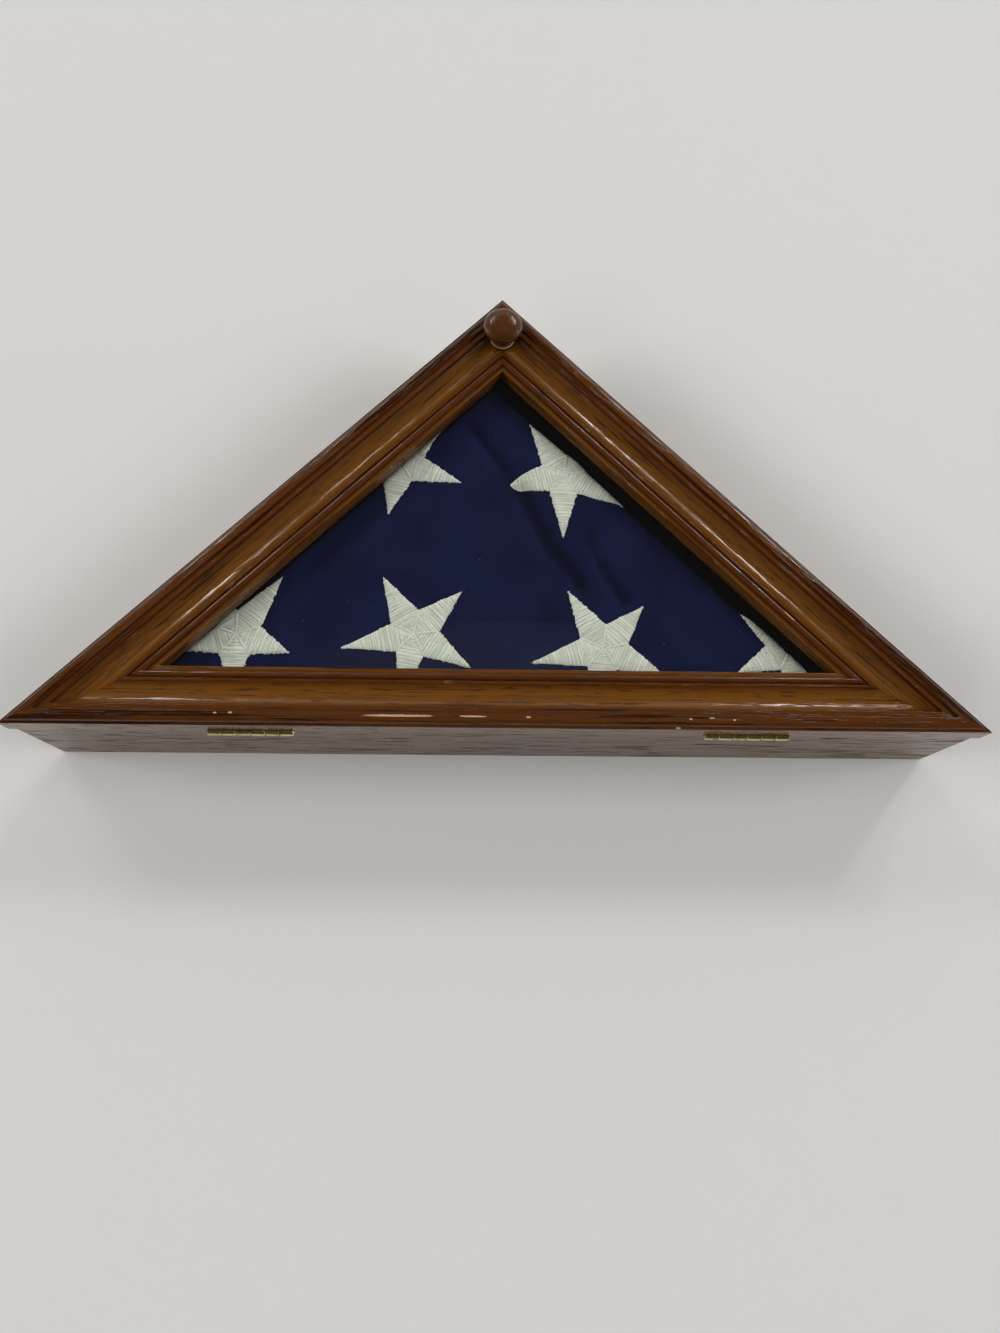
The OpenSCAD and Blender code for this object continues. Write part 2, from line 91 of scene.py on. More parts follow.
def factor(name, description, value):
    return FloatProperty(name=name, description=description, default=value, subtype="FACTOR",
                         min=0, max=1)


class MouldingSettings(bpy.types.PropertyGroup):
    """Sizes of the door's moulded rails and of the case boards"""

    edge_h: length("Flat edge height", "Height of the door's flat outer edge", 18.6)
    rail_w: length("Rail width", "From the outer edge to the sight edge", 41.4)
    rim_fillet_w: length("Rim fillet", "Width of the fillet outside the rim", 1.6)
    rim_r: length("Rim radius", "Radius of the quarter round that lifts the rim", 3.6)
    crest_w: length("Crest width", "Width of the rim's flat crest", 4.4)
    step_drop: length("Step drop", "Depth of the step inside the crest", 1.8)
    step_w: length("Step width", "Width of the step inside the crest", 4.0)
    cove_top_h: length("Cove height", "Height of the cove's arrises above the door's back", 16.4)
    cove_depth: length("Cove depth", "Depth of the cove below its arrises", 4.2)
    bead_fillet_w: length("Bead fillet", "Width of the fillet outside the inner bead", 1.8)
    quirk_w: length("Quirk", "Width of the groove outside the inner bead", 0.6)
    bead_r: length("Bead radius", "Radius of the inner bead", 2.3)
    bead_lift: length("Bead lift", "Height of the bead's centre above the lip", 0.6)
    lip_w: length("Lip width", "Width of the lip along the sight edge", 3.4)
    lip_h: length("Lip height", "Height of the lip above the door's back", 14.6)
    rebate_w: length("Rebate width", "Width of the rebate that holds the pane", 8.0)
    rebate_h: length("Rebate height", "Height of the rebate that holds the pane", 8.0)
    arris_r: length("Arris", "Radius of the softened arrises", 0.45)
    board_t: length("Board thickness", "Thickness of the case boards", 12.7)
    overhang: length("Overhang", "Distance the door stands out past the boards", 1.2)
    back_rebate_w: length("Back rebate", "Width of the rebate that holds the back panel", 6.4)
    back_t: length("Back thickness", "Thickness of the back panel", 5.0)


class WoodSettings(bpy.types.PropertyGroup):
    """Colours and finish of the wood"""

    frame_light: colour("Moulding, light", "Lighter wood of the mouldings", (0.160, 0.057, 0.006))
    frame_dark: colour("Moulding, dark", "Darker wood of the mouldings", (0.050, 0.0145, 0.001))
    board_light: colour("Boards, light", "Lighter wood of the boards", (0.130, 0.058, 0.016))
    board_dark: colour("Boards, dark", "Darker wood of the boards", (0.030, 0.010, 0.002))
    knob_light: colour("Knob, light", "Lighter wood of the knob", (0.072, 0.022, 0.003))
    knob_dark: colour("Knob, dark", "Darker wood of the knob", (0.045, 0.011, 0.001))
    bare: colour("Bare wood", "Wood where the finish is worn through", (0.500, 0.330, 0.190))
    wear: factor("Wear", "Share of the arrises that is worn", 0.20)


class FlagSettings(bpy.types.PropertyGroup):
    """The folded flag"""

    navy: colour("Field", "Colour of the cotton field", (0.0057, 0.0082, 0.0345))
    thread: colour("Thread", "Colour of the embroidery thread", (0.70, 0.712, 0.615))
    top_gap: length("Top gap", "Distance of the top ply below the stand-in's top", 0.4)
    base_in: length("Base inset", "Inset of the top ply's fold from the door's base edge", 17)
    right_in: length("Right inset", "Inset of the top ply's fold from the door's right edge", 47)
    left_in: length("Left inset", "Inset of the top ply's fold from the door's left edge", 37.5)
    fold_r: length("Fold radius", "Radius of the top ply's folds", 7)
    star_inner_r: length("Star inner radius", "Distance of a star's inner corners from its middle", 17.7)
    stitch: length("Stitch pitch", "Distance between the satin stitches of the stars", 2.1)
    plies: IntProperty(name="Bundles", description="Folded bundles under the top ply",
                       default=9, min=1, max=20)


class MetalSettings(bpy.types.PropertyGroup):
    """Colours of the metal pieces"""

    brass: colour("Brass", "Colour of the hinges and their screws", (0.74, 0.64, 0.30))
    tarnish: colour("Tarnish", "Colour of the brass where it has dulled", (0.16, 0.11, 0.045))
    steel: colour("Steel", "Colour of brads, screws and catch plates", (0.50, 0.50, 0.48))


class StageSettings(bpy.types.PropertyGroup):
    """Floor, lamps and camera"""

    floor: colour("Floor", "Colour of the floor", (0.70, 0.695, 0.68))
    walls: colour("Walls", "Light that comes from low down all round", (0.46, 0.44, 0.40))
    ceiling: colour("Ceiling", "Light that comes from above", (0.05, 0.05, 0.05))
    window_power: FloatProperty(name="Window", description="Power of the brightest window",
                                default=50, min=0, subtype="POWER", unit="POWER")
    softbox_power: FloatProperty(name="Softbox", description="Power of each softbox",
                                 default=110, min=0, subtype="POWER", unit="POWER")
    lens: FloatProperty(name="Lens", description="Focal length on a 36 mm sensor", default=26.4,
                        unit="CAMERA")


# ---- The triangle's sides -------------------------------------------------------------------


def side_length(side):
    return 2 * HALF_W if side == BASE else HALF_W * APEX_DRAW


def start_draw(side, inset):
    """How far a line at this inset starts from the side's first corner."""
    return inset * (1 if side == LEFT else CORNER_DRAW)


def end_draw(side, inset):
    return inset * (1 if side == RIGHT else CORNER_DRAW)


def side_matrix(side):
    """Frame of one side in the row frame: x along its outer edge, y inwards, z up."""
    origin = (Vector((-HALF_W, EDGE_Y, 0)), Vector((HALF_W, EDGE_Y, 0)), Vector((0, APEX_Y, 0)))
    return Matrix.Translation(origin[side]) @ Matrix.Rotation(SIDE_TURNS[side], 4, "Z")


# ---- Mesh tools -----------------------------------------------------------------------------


def new_object(name, mesh):
    piece = bpy.data.objects.new(name, mesh)
    bpy.context.scene.collection.objects.link(piece)
    return piece


def object_from(name, bm):
    """Turns a bmesh into an object of the scene and frees it."""
    mesh = bpy.data.meshes.new(name)
    bm.to_mesh(mesh)
    bm.free()
    return new_object(name, mesh)


def mesh_from(name, verts, faces):
    mesh = bpy.data.meshes.new(name)
    mesh.from_pydata([tuple(v) for v in verts], [], faces)
    mesh.update()
    return mesh


def outward(mesh):
    """Turns all faces of closed shells outwards."""
    bm = bmesh.new()
    bm.from_mesh(mesh)
    bmesh.ops.recalc_face_normals(bm, faces=bm.faces)
    bm.to_mesh(mesh)
    bm.free()
    mesh.update()


def evaluated(piece):
    """Applies the piece's modifiers to its mesh."""
    depsgraph = bpy.context.evaluated_depsgraph_get()
    done = bpy.data.meshes.new_from_object(piece.evaluated_get(depsgraph))
    piece.modifiers.clear()
    piece.data = done


def smooth(piece, angle=40):
    """Smooth shading with sharp edges past an angle in degrees and flats kept flat."""
    piece.data.shade_smooth()
    piece.data.set_sharp_from_angle(angle=math.radians(angle))
    weighted = piece.modifiers.new("flat_faces", "WEIGHTED_NORMAL")
    weighted.keep_sharp = True
    evaluated(piece)


def finish_piece(piece, material, body, stands_for=()):
    """Gives the piece its material and its body, and hides the CAD nodes that it stands for."""
    piece.data.materials.clear()
    piece.data.materials.append(material)
    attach(piece, body)
    if stands_for:
        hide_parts(*stands_for)


def cut(piece, cutters):
    """Takes the cutters' volume off the piece and deletes them."""
    for cutter in cutters:
        boolean = piece.modifiers.new("cut", "BOOLEAN")
        boolean.operation = "DIFFERENCE"
        boolean.solver = "EXACT"
        boolean.object = cutter
    evaluated(piece)
    for cutter in cutters:
        bpy.data.objects.remove(cutter)


def add_box(bm, low, high):
    """Adds a box between two corners and returns its vertices."""
    made = bmesh.ops.create_cube(bm, size=1)["verts"]
    bmesh.ops.scale(bm, vec=Vector(high) - Vector(low), verts=made)
    bmesh.ops.translate(bm, vec=(Vector(low) + Vector(high)) / 2, verts=made)
    return made


def box_cutter(low, high):
    bm = bmesh.new()
    add_box(bm, low, high)
    return object_from("cutter", bm)


def rod_cutter(start, end, radius, sides=32):
    """Round cutter from start to end."""
    axis = Vector(end) - Vector(start)
    bm = bmesh.new()
    bmesh.ops.create_cone(bm, cap_ends=True, segments=sides, radius1=radius, radius2=radius,
                          depth=axis.length)
    turn = axis.to_track_quat("Z", "Y").to_matrix().to_4x4()
    bmesh.ops.transform(bm, matrix=Matrix.Translation((Vector(start) + Vector(end)) / 2) @ turn,
                        verts=bm.verts)
    return object_from("cutter", bm)


def arc(centre, radius, start, end, steps):
    """Points of an arc from start to end, in degrees, both ends included."""
    angles = [math.radians(start + (end - start) * i / steps) for i in range(steps + 1)]
    return [(centre[0] + radius * math.cos(a), centre[1] + radius * math.sin(a)) for a in angles]


def softened(outline, radius, corners, steps=4):
    """Rounds the corners of a closed outline whose indices are given."""
    out = []
    count = len(outline)
    for i, point in enumerate(outline):
        here = Vector(point)
        if i not in corners:
            out.append(here)
            continue
        to_last = Vector(outline[i - 1]) - here
        to_next = Vector(outline[(i + 1) % count]) - here
        half = to_last.angle(to_next) / 2
        trim = min(radius / math.tan(half), 0.45 * to_last.length, 0.45 * to_next.length)
        first = here + to_last.normalized() * trim
        last = here + to_next.normalized() * trim
        for k in range(steps + 1):
            t = k / steps
            out.append(first * (1 - t) ** 2 + here * 2 * t * (1 - t) + last * t ** 2)
    return out


def divided(outline, longest):
    """Splits the outline's long segments."""
    out = []
    for i, point in enumerate(outline):
        following = outline[(i + 1) % len(outline)]
        parts = max(1, math.ceil((following - point).length / longest))
        out += [point.lerp(following, k / parts) for k in range(parts)]
    return out


def mitred_sweep(name, outline, side, stations, gap):
    """Solid strip along one side, cut to the mitres, from an outline of (inset, height) points."""
    to_row = side_matrix(side)
    verts = []
    for j in range(stations + 1):
        for inset, height in outline:
            first = start_draw(side, inset) + gap
            last = side_length(side) - end_draw(side, inset) - gap
            verts.append(to_row @ Vector((first + (last - first) * j / stations, inset, height)))
    n = len(outline)
    faces = [(j * n + i, j * n + (i + 1) % n, (j + 1) * n + (i + 1) % n, (j + 1) * n + i)
             for j in range(stations) for i in range(n)]
    faces.append(tuple(range(n - 1, -1, -1)))
    faces.append(tuple(stations * n + i for i in range(n)))
    mesh = mesh_from(name, verts, faces)
    bm = bmesh.new()
    bm.from_mesh(mesh)
    bmesh.ops.triangulate(bm, faces=[f for f in bm.faces if len(f.verts) > 4])
    bmesh.ops.recalc_face_normals(bm, faces=bm.faces)
    bm.to_mesh(mesh)
    bm.free()
    return new_object(name, mesh)


def lathe(outline, steps):
    """Closed mesh turned round z from (radius, height) points that start and end on the axis."""
    rings = outline[1:-1]
    verts = [Vector((0, 0, outline[0][1])), Vector((0, 0, outline[-1][1]))]
    for k in range(steps):
        turn = 2 * math.pi * k / steps
        verts += [Vector((r * math.cos(turn), r * math.sin(turn), z)) for r, z in rings]
    n = len(rings)
    faces = []
    for k in range(steps):
        here, following = 2 + k * n, 2 + (k + 1) % steps * n
        faces.append((0, following, here))
        faces += [(here + i, following + i, following + i + 1, here + i + 1) for i in range(n - 1)]
        faces.append((here + n - 1, following + n - 1, 1))
    return verts, faces


def turned_object(name, verts, faces, angle):
    """A lathe's shell as an object: faces outwards, smooth below an angle in degrees."""
    mesh = mesh_from(name, verts, faces)
    outward(mesh)
    piece = new_object(name, mesh)
    smooth(piece, angle)
    return piece


# ---- Shader tools ---------------------------------------------------------------------------


class Tree:
    """A short way to write a node tree."""

    def __init__(self, tree):
        self.tree = tree

    def node(self, kind, sockets=None, **settings):
        made = self.tree.nodes.new(kind)
        for key, value in settings.items():
            setattr(made, key, value)
        for key, value in (sockets or {}).items():
            if isinstance(value, bpy.types.NodeSocket):
                self.tree.links.new(value, made.inputs[key])
            else:
                made.inputs[key].default_value = value
        return made

    def link(self, source, target):
        self.tree.links.new(source, target)

    def place(self):
        """Coordinates of the piece's own points, in metres."""
        return self.node("ShaderNodeTexCoord").outputs["Object"]

    def attribute(self, name, output="Fac"):
        return self.node("ShaderNodeAttribute", attribute_name=name).outputs[output]

    def maths(self, operation, *values, clamp=False):
        return self.node("ShaderNodeMath", dict(enumerate(values)), operation=operation,
                         use_clamp=clamp).outputs[0]

    def vector(self, operation, *values):
        return self.node("ShaderNodeVectorMath", dict(enumerate(values)),
                         operation=operation).outputs[0]

    def mix(self, share, first, second, blend="MIX"):
        made = self.node("ShaderNodeMix", data_type="RGBA", blend_type=blend)
        for key, value in ((0, share), (6, first), (7, second)):
            if isinstance(value, bpy.types.NodeSocket):
                self.link(value, made.inputs[key])
            else:
                made.inputs[key].default_value = value
        return made.outputs[2]

    def ramp(self, value, *stops):
        """Smooth map from a value to a grey: stops are (position, grey)."""
        made = self.node("ShaderNodeValToRGB", {"Fac": value})
        elements = made.color_ramp.elements
        while len(elements) < len(stops):
            elements.new(0.5)
        for element, (position, grey) in zip(elements, stops):
            element.position = position
            element.color = (grey, grey, grey, 1)
        return made.outputs["Color"]

    def noise(self, vector, scale, detail=2.0, roughness=0.5, distortion=0.0):
        return self.node("ShaderNodeTexNoise", {
            "Vector": vector, "Scale": scale, "Detail": detail, "Roughness": roughness,
            "Distortion": distortion}).outputs["Fac"]

    def stretched_noise(self, vector, scale, *detail):
        """Noise whose cells have their own size along each axis."""
        return self.noise(self.vector("MULTIPLY", vector, scale), 1.0, *detail)


def rgba(value):
    return (*value, 1.0)


def group(name, inputs, outputs):
    """A new shader node group with named sockets: returns it, its Tree, its inputs and outputs."""
    made = bpy.data.node_groups.new(name, "ShaderNodeTree")
    for socket, kind, value in inputs:
        added = made.interface.new_socket(name=socket, in_out="INPUT", socket_type=kind)
        if value is not None:
            added.default_value = value
    for socket, kind in outputs:
        made.interface.new_socket(name=socket, in_out="OUTPUT", socket_type=kind)
    tree = Tree(made)
    source = tree.node("NodeGroupInput")
    target = tree.node("NodeGroupOutput")
    return made, tree, source.outputs, target.inputs


def use(tree, made, **sockets):
    """Places a group in a tree. Socket names are written with _ for each space."""
    return tree.node("ShaderNodeGroup", {key.replace("_", " "): value for key, value in sockets.items()},
                     node_tree=made).outputs


def new_material(name, **principled):
    """A material with a Principled shader whose constant sockets are set directly."""
    material = bpy.data.materials.new(name)
    material.use_nodes = True
    material.node_tree.nodes.clear()
    tree = Tree(material.node_tree)
    shader = tree.node("ShaderNodeBsdfPrincipled",
                       {key.replace("_", " "): value for key, value in principled.items()})
    output = tree.node("ShaderNodeOutputMaterial")
    tree.link(shader.outputs[0], output.inputs["Surface"])
    return material, tree, shader


def bump(tree, shader, height, strength, distance):
    made = tree.node("ShaderNodeBump", {"Height": height, "Strength": strength,
                                        "Distance": distance})
    tree.link(made.outputs["Normal"], shader.inputs["Normal"])


SCALAR, VECTOR, COLOUR = "NodeSocketFloat", "NodeSocketVector", "NodeSocketColor"


# Cells per metre of the stretched noises, along x and across it: the wood's figure, streaks, ripple,
# pores and rings, the wear of its arrises, and the rubbing of metal
FIGURE_SCALE = (2.5, 50.0, 50.0)
STREAK_SCALE = (9.0, 420.0, 420.0)
RIPPLE_SCALE = (45.0, 480.0, 480.0)
PORE_SCALE = (60.0, 650.0, 650.0)
RING_SCALE = (5.0, 130.0, 130.0)
WEAR_SCALE = (26.0, 90.0, 90.0)
RUB_SCALE = (150.0, 2600.0, 2600.0)

# Colour inside the pores, and the colour that dark stain multiplies the wood by
PORE_COLOUR = (0.012, 0.004, 0.001, 1)
STAIN_COLOUR = (0.40, 0.25, 0.14, 1)


def wood_grain_group():
    """Stained wood: broad figure, fine streaks and open pores along the vector's x, in metres."""
    made, tree, source, target = group(
        "Wood Grain",
        [("Vector", VECTOR, None), ("Light", COLOUR, (0.3, 0.2, 0.1, 1)),
         ("Dark", COLOUR, (0.1, 0.05, 0.02, 1)), ("Figure", SCALAR, 1.0), ("Pores", SCALAR, 0.5)],
        [("Color", COLOUR), ("Height", SCALAR), ("Streaks", SCALAR)])
    figure = tree.stretched_noise(source["Vector"], FIGURE_SCALE, 3.0, 0.5, 1.0)
    streaks = tree.stretched_noise(source["Vector"], STREAK_SCALE, 3.0, 0.6, 0.3)
    ripple = tree.stretched_noise(source["Vector"], RIPPLE_SCALE, 1.0, 0.5)
    dashes = tree.stretched_noise(source["Vector"], PORE_SCALE, 2.0, 0.5)
    pores = tree.ramp(dashes, (0.34, 1.0), (0.44, 0.0))
    ring = tree.stretched_noise(source["Vector"], RING_SCALE, 2.0, 0.5, 0.6)
    off_line = tree.maths("ABSOLUTE", tree.maths("SUBTRACT", ring, 0.5))
    lines = tree.maths("MULTIPLY", tree.ramp(off_line, (0.0, 1.0), (0.03, 0.0)), figure)
    blend = tree.maths("MULTIPLY_ADD", figure, source["Figure"], tree.maths("MULTIPLY", streaks, 1.5))
    shade = tree.ramp(blend, (0.95, 0.0), (1.38, 1.0))
    wood = tree.mix(shade, source["Dark"], source["Light"])
    dark_share = tree.maths("MULTIPLY", tree.maths("MAXIMUM", pores, lines), source["Pores"])
    tree.link(tree.mix(dark_share, wood, PORE_COLOUR), target["Color"])
    height = tree.maths("MULTIPLY_ADD", pores, -0.35, tree.maths("MULTIPLY_ADD", lines, -0.2, ripple))
    tree.link(height, target["Height"])
    tree.link(tree.maths("MULTIPLY_ADD", pores, 1.5, streaks), target["Streaks"])
    return made


def edge_wear_group():
    """Ragged wear along the arrises, whose nearness is an attribute of the mesh."""
    made, tree, source, target = group(
        "Edge Wear", [("Vector", VECTOR, None), ("Arris", SCALAR, 0.0), ("Amount", SCALAR, 0.3)],
        [("Mask", SCALAR)])
    patches = tree.stretched_noise(source["Vector"], WEAR_SCALE, 5.0, 0.7)
    reach = tree.maths("ADD", tree.maths("MULTIPLY", source["Arris"], source["Amount"]), patches)
    worn = tree.ramp(reach, (0.80, 0.0), (0.93, 1.0))
    tree.link(tree.maths("MULTIPLY", worn, source["Arris"]), target["Mask"])
    return made


def bare_mark_group():
    """One ragged mark where the finish is knocked off, at a place given in the vector's x and y."""
    made, tree, source, target = group(
        "Bare Mark",
        [("Vector", VECTOR, None), ("Centre", VECTOR, None), ("Half Length", SCALAR, 0.02),
         ("Half Width", SCALAR, 0.001)],
        [("Mask", SCALAR)])
    offset = tree.node("ShaderNodeSeparateXYZ",
                       {0: tree.vector("SUBTRACT", source["Vector"], source["Centre"])}).outputs
    wander = tree.maths("SUBTRACT", tree.noise(source["Vector"], 160.0, 3.0, 0.6), 0.5)
    across = tree.maths("ADD", offset["Y"], tree.maths("MULTIPLY", wander, source["Half Width"]))
    along = tree.maths("DIVIDE", offset["X"], source["Half Length"])
    wide = tree.maths("DIVIDE", across, source["Half Width"])
    far = tree.maths("ADD", tree.maths("POWER", tree.maths("ABSOLUTE", along), 4.0),
                     tree.maths("MULTIPLY", wide, wide))
    ragged = tree.maths("ADD", far, tree.maths("MULTIPLY", wander, 1.6))
    tree.link(tree.ramp(ragged, (0.55, 1.0), (0.95, 0.0)), target["Mask"])
    return made


def weave_group():
    """Plain weave with slubs, at a thread pitch in metres."""
    made, tree, source, target = group(
        "Plain Weave", [("Vector", VECTOR, None), ("Pitch", SCALAR, 0.0006)],
        [("Height", SCALAR), ("Slubs", SCALAR)])
    turns = tree.maths("DIVIDE", 2 * math.pi, source["Pitch"])
    place = tree.node("ShaderNodeSeparateXYZ", {0: source["Vector"]}).outputs
    warp = tree.maths("SINE", tree.maths("MULTIPLY", place["X"], turns))
    weft = tree.maths("SINE", tree.maths("MULTIPLY", place["Y"], turns))
    height = tree.maths("MULTIPLY", warp, weft)
    slubs = tree.noise(source["Vector"], 420.0, 3.0, 0.6)
    tree.link(tree.maths("MULTIPLY_ADD", slubs, 1.2, height), target["Height"])
    tree.link(slubs, target["Slubs"])
    return made


def tarnish_group():
    """Blotches and fine rubbing of aged metal."""
    made, tree, source, target = group(
        "Tarnish", [("Vector", VECTOR, None), ("Amount", SCALAR, 0.5)],
        [("Mask", SCALAR), ("Rub", SCALAR)])
    blotches = tree.noise(source["Vector"], 260.0, 4.0, 0.65)
    low = tree.maths("SUBTRACT", 0.75, tree.maths("MULTIPLY", source["Amount"], 0.5))
    tree.link(tree.maths("SUBTRACT", blotches, low, clamp=True), target["Mask"])
    rub = tree.stretched_noise(source["Vector"], RUB_SCALE, 2.0)
    tree.link(rub, target["Rub"])
    return made


GROUPS = {}


def effect(name):
    """One of the shared node groups, built when it is first used."""
    makers = {"wood": wood_grain_group, "wear": edge_wear_group, "mark": bare_mark_group,
              "weave": weave_group, "tarnish": tarnish_group}
    if name not in GROUPS:
        GROUPS[name] = makers[name]()
    return GROUPS[name]


def along_grain(tree, side):
    """Coordinates whose x runs along one side's grain from its first corner, and y inwards."""
    place = tree.place()
    to_side = side_matrix(side).inverted()
    return tree.node("ShaderNodeMapping", {
        "Vector": place, "Location": to_side.translation, "Rotation": to_side.to_euler(),
    }, vector_type="POINT").outputs["Vector"]


def wood_material(name, vector_of, light, dark, wear=0.0, bare=(0.5, 0.3, 0.2), roughness=0.14,
                  coat=0.0, figure=0.8, pores=0.6, relief=0.22 * MM, coarse=1.0, marks=()):
    """Varnished wood. vector_of gives the coordinates, x along the grain."""
    material, tree, shader = new_material(name, Coat_Weight=coat, Coat_Roughness=0.10)
    vector = vector_of(tree)
    finer = tree.vector("DIVIDE", vector, (coarse, coarse, coarse))
    grain = use(tree, effect("wood"), Vector=finer, Light=rgba(light), Dark=rgba(dark),
                Figure=figure, Pores=pores)
    arris = tree.attribute("arris")
    worn = use(tree, effect("wear"), Vector=vector, Arris=arris, Amount=wear)["Mask"]
    for centre, half_length, half_width in marks:
        mark = use(tree, effect("mark"), Vector=vector, Centre=(*centre, 0.0),
                   Half_Length=half_length, Half_Width=half_width)["Mask"]
        worn = tree.maths("MAXIMUM", worn, mark)
    stain = tree.attribute("stain")
    stained = tree.mix(stain, grain["Color"], STAIN_COLOUR, "MULTIPLY")
    tree.link(tree.mix(worn, stained, rgba(bare)), shader.inputs["Base Color"])
    dull = tree.maths("MULTIPLY_ADD", grain["Streaks"], 0.25, roughness - 0.11)
    tree.link(tree.maths("MULTIPLY_ADD", worn, 0.3, dull), shader.inputs["Roughness"])
    bump(tree, shader, grain["Height"], 1.0, relief)
    return material


# ---- Wood -----------------------------------------------------------------------------------


# Half widths of the dark stain that gathers in the groove inside the crest and in the bead's quirk
GROOVE_STAIN_W = 1.0 * MM
QUIRK_STAIN_W = 0.9 * MM


def rail_outline(m):
    """Section of the moulding as (inset, height) points, its arrises softened."""
    rim_w = m.rim_fillet_w + m.rim_r + m.crest_w
    rail_h = m.edge_h + m.rim_r
    cove_in = rim_w + m.step_w
    bead_in = m.rail_w - m.lip_w - 2 * m.bead_r
    cove_w = bead_in - m.quirk_w - m.bead_fillet_w - cove_in
    cove_r = cove_w * cove_w / (8 * m.cove_depth) + m.cove_depth / 2
    half_angle = math.degrees(math.asin(cove_w / (2 * cove_r)))
    cove_centre = (cove_in + cove_w / 2, m.cove_top_h - m.cove_depth + cove_r)
    bead_z = m.lip_h + m.bead_lift
    rebate_in = m.rail_w - m.rebate_w
    parts = [
        ([(0, 0), (0, m.edge_h), (m.rim_fillet_w, m.edge_h)], (0, 1, 2)),
        (arc((m.rim_fillet_w + m.rim_r, m.edge_h), m.rim_r, 180, 90, 8)[1:], ()),
        ([(rim_w, rail_h), (rim_w, rail_h - m.step_drop), (cove_in, rail_h - m.step_drop)],
         (0, 1, 2)),
        (arc(cove_centre, cove_r, 270 - half_angle, 270 + half_angle, 18), (0, 18)),
        ([(bead_in - m.quirk_w, m.cove_top_h), (bead_in - m.quirk_w, bead_z)], (0,)),
        (arc((bead_in + m.bead_r, bead_z), m.bead_r, 180, 0, 14), ()),
        ([(m.rail_w - m.lip_w, m.lip_h), (m.rail_w, m.lip_h), (m.rail_w, m.rebate_h),
          (rebate_in, m.rebate_h), (rebate_in, 0)], (1, 2, 4)),
    ]
    outline, corners = [], set()
    for points, soft in parts:
        corners |= {len(outline) + k for k in soft}
        outline += points
    arrises = [Vector(outline[k]) for k in sorted(corners)]
    return divided(softened(outline, m.arris_r, corners), 1.3 * MM), arrises


def moulding_stain(m, place):
    """How dark the moulding's stain is at (inset, height): light in the cove, dark elsewhere."""
    if place.y <= m.edge_h - MM and place.x <= MM:
        return 0
    step_in = m.rim_fillet_w + m.rim_r + m.crest_w
    cove_in = step_in + m.step_w
    cove_out = m.rail_w - m.lip_w - 2 * m.bead_r - m.quirk_w - m.bead_fillet_w
    outside = max(cove_in - place.x, place.x - cove_out)
    edge = 0.55 + 0.45 * smooth_step(outside, -1.5 * MM, 0.5 * MM)
    cove = edge * smooth_step(outside, -5 * MM, 0)
    lip = smooth_step(place.x, m.rail_w - m.lip_w + 0.4 * MM, m.rail_w - 0.6 * m.lip_w)
    groove = math.exp(-((place.x - step_in) / GROOVE_STAIN_W) ** 2)
    quirk = math.exp(-((place.x - cove_out - m.bead_fillet_w) / QUIRK_STAIN_W) ** 2)
    return max(cove * (0.75 - 0.45 * lip), groove, quirk)


def board_outline(m):
    """Section of a case board with its rebate for the back panel."""
    inner = m.overhang + m.board_t
    back_in = inner - m.back_rebate_w
    outline = [(m.overhang, 0), (m.overhang, CASE_TOP_Z), (inner, CASE_TOP_Z), (inner, m.back_t),
               (back_in, m.back_t), (back_in, 0)]
    corners = {0, 1, 2, 3, 5}
    arrises = [Vector(outline[k]) for k in sorted(corners)]
    return divided(softened(outline, 0.6 * MM, corners), 4 * MM), arrises


def mark_section(piece, side, level, arrises, reach, stain_of=None):
    """Stores how near each point is to an arris of the section, and how dark its stain is, from 0 to 1."""
    to_side = side_matrix(side).inverted()
    nearness = piece.data.attributes.new("arris", "FLOAT", "POINT")
    stain = piece.data.attributes.new("stain", "FLOAT", "POINT")
    for vertex in piece.data.vertices:
        place = to_side @ vertex.co
        here = Vector((place.y, place.z - level))
        gap = min((here - a).length for a in arrises)
        nearness.data[vertex.index].value = max(0.0, 1 - gap / reach)
        stain.data[vertex.index].value = stain_of(here) if stain_of else 0.0


# Brass butt hinges: knuckles of one hinge, the gap between two, their radius, chamfer and bore, the
# thickness of a leaf, and the room that the wood leaves round them
KNUCKLES = 6
KNUCKLE_GAP = 0.5 * MM
KNUCKLE_R = 2.6 * MM
KNUCKLE_CHAMFER = 0.4 * MM
KNUCKLE_BORE_R = 1.25 * MM
PIN_R = 1.2 * MM
PIN_CHAMFER = 0.3 * MM
LEAF_T = 1.2 * MM
LEAF_SLACK = 0.1 * MM
BARREL_GROOVE_R = 2.9 * MM
BARREL_SLACK = 0.4 * MM

# Nail holes in the flat edges, and the knob's seat that is sunk into the rails
BRAD_HOLE_R = 0.65 * MM
BRAD_HOLE_DEPTH = 3 * MM
KNOB_SEAT_R = 9.9 * MM
KNOB_SEAT_H = 30 * MM

# The gap that each mitre keeps on its own side
MITRE_GAP = 0.03 * MM

# Angles in degrees past which an edge stays sharp
METAL_SHARP = 35
KNOB_SHARP = 60
CLOTH_SHARP = 70


def hinge_cutters(level, up):
    """Mortises and barrel grooves of both hinges for a face at this level: up cuts above it."""
    cutters = []
    for hand in ("left", "right"):
        leaf = "door_leaf" if up else "case_leaf"
        low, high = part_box(f"{hand}_hinge_{leaf}")
        near, far = (level - MM, level + LEAF_T) if up else (level - LEAF_T, level + MM)
        cutters.append(box_cutter((low.x - LEAF_SLACK, EDGE_Y - MM, near),
                                  (high.x + LEAF_SLACK, high.y + LEAF_SLACK, far)))
        pin_low, pin_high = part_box(f"{hand}_hinge_pin")
        axis = (pin_low + pin_high) / 2
        cutters.append(rod_cutter((pin_low.x - BARREL_SLACK, axis.y, axis.z),
                                  (pin_high.x + BARREL_SLACK, axis.y, axis.z),
                                  BARREL_GROOVE_R, 40))
    return cutters


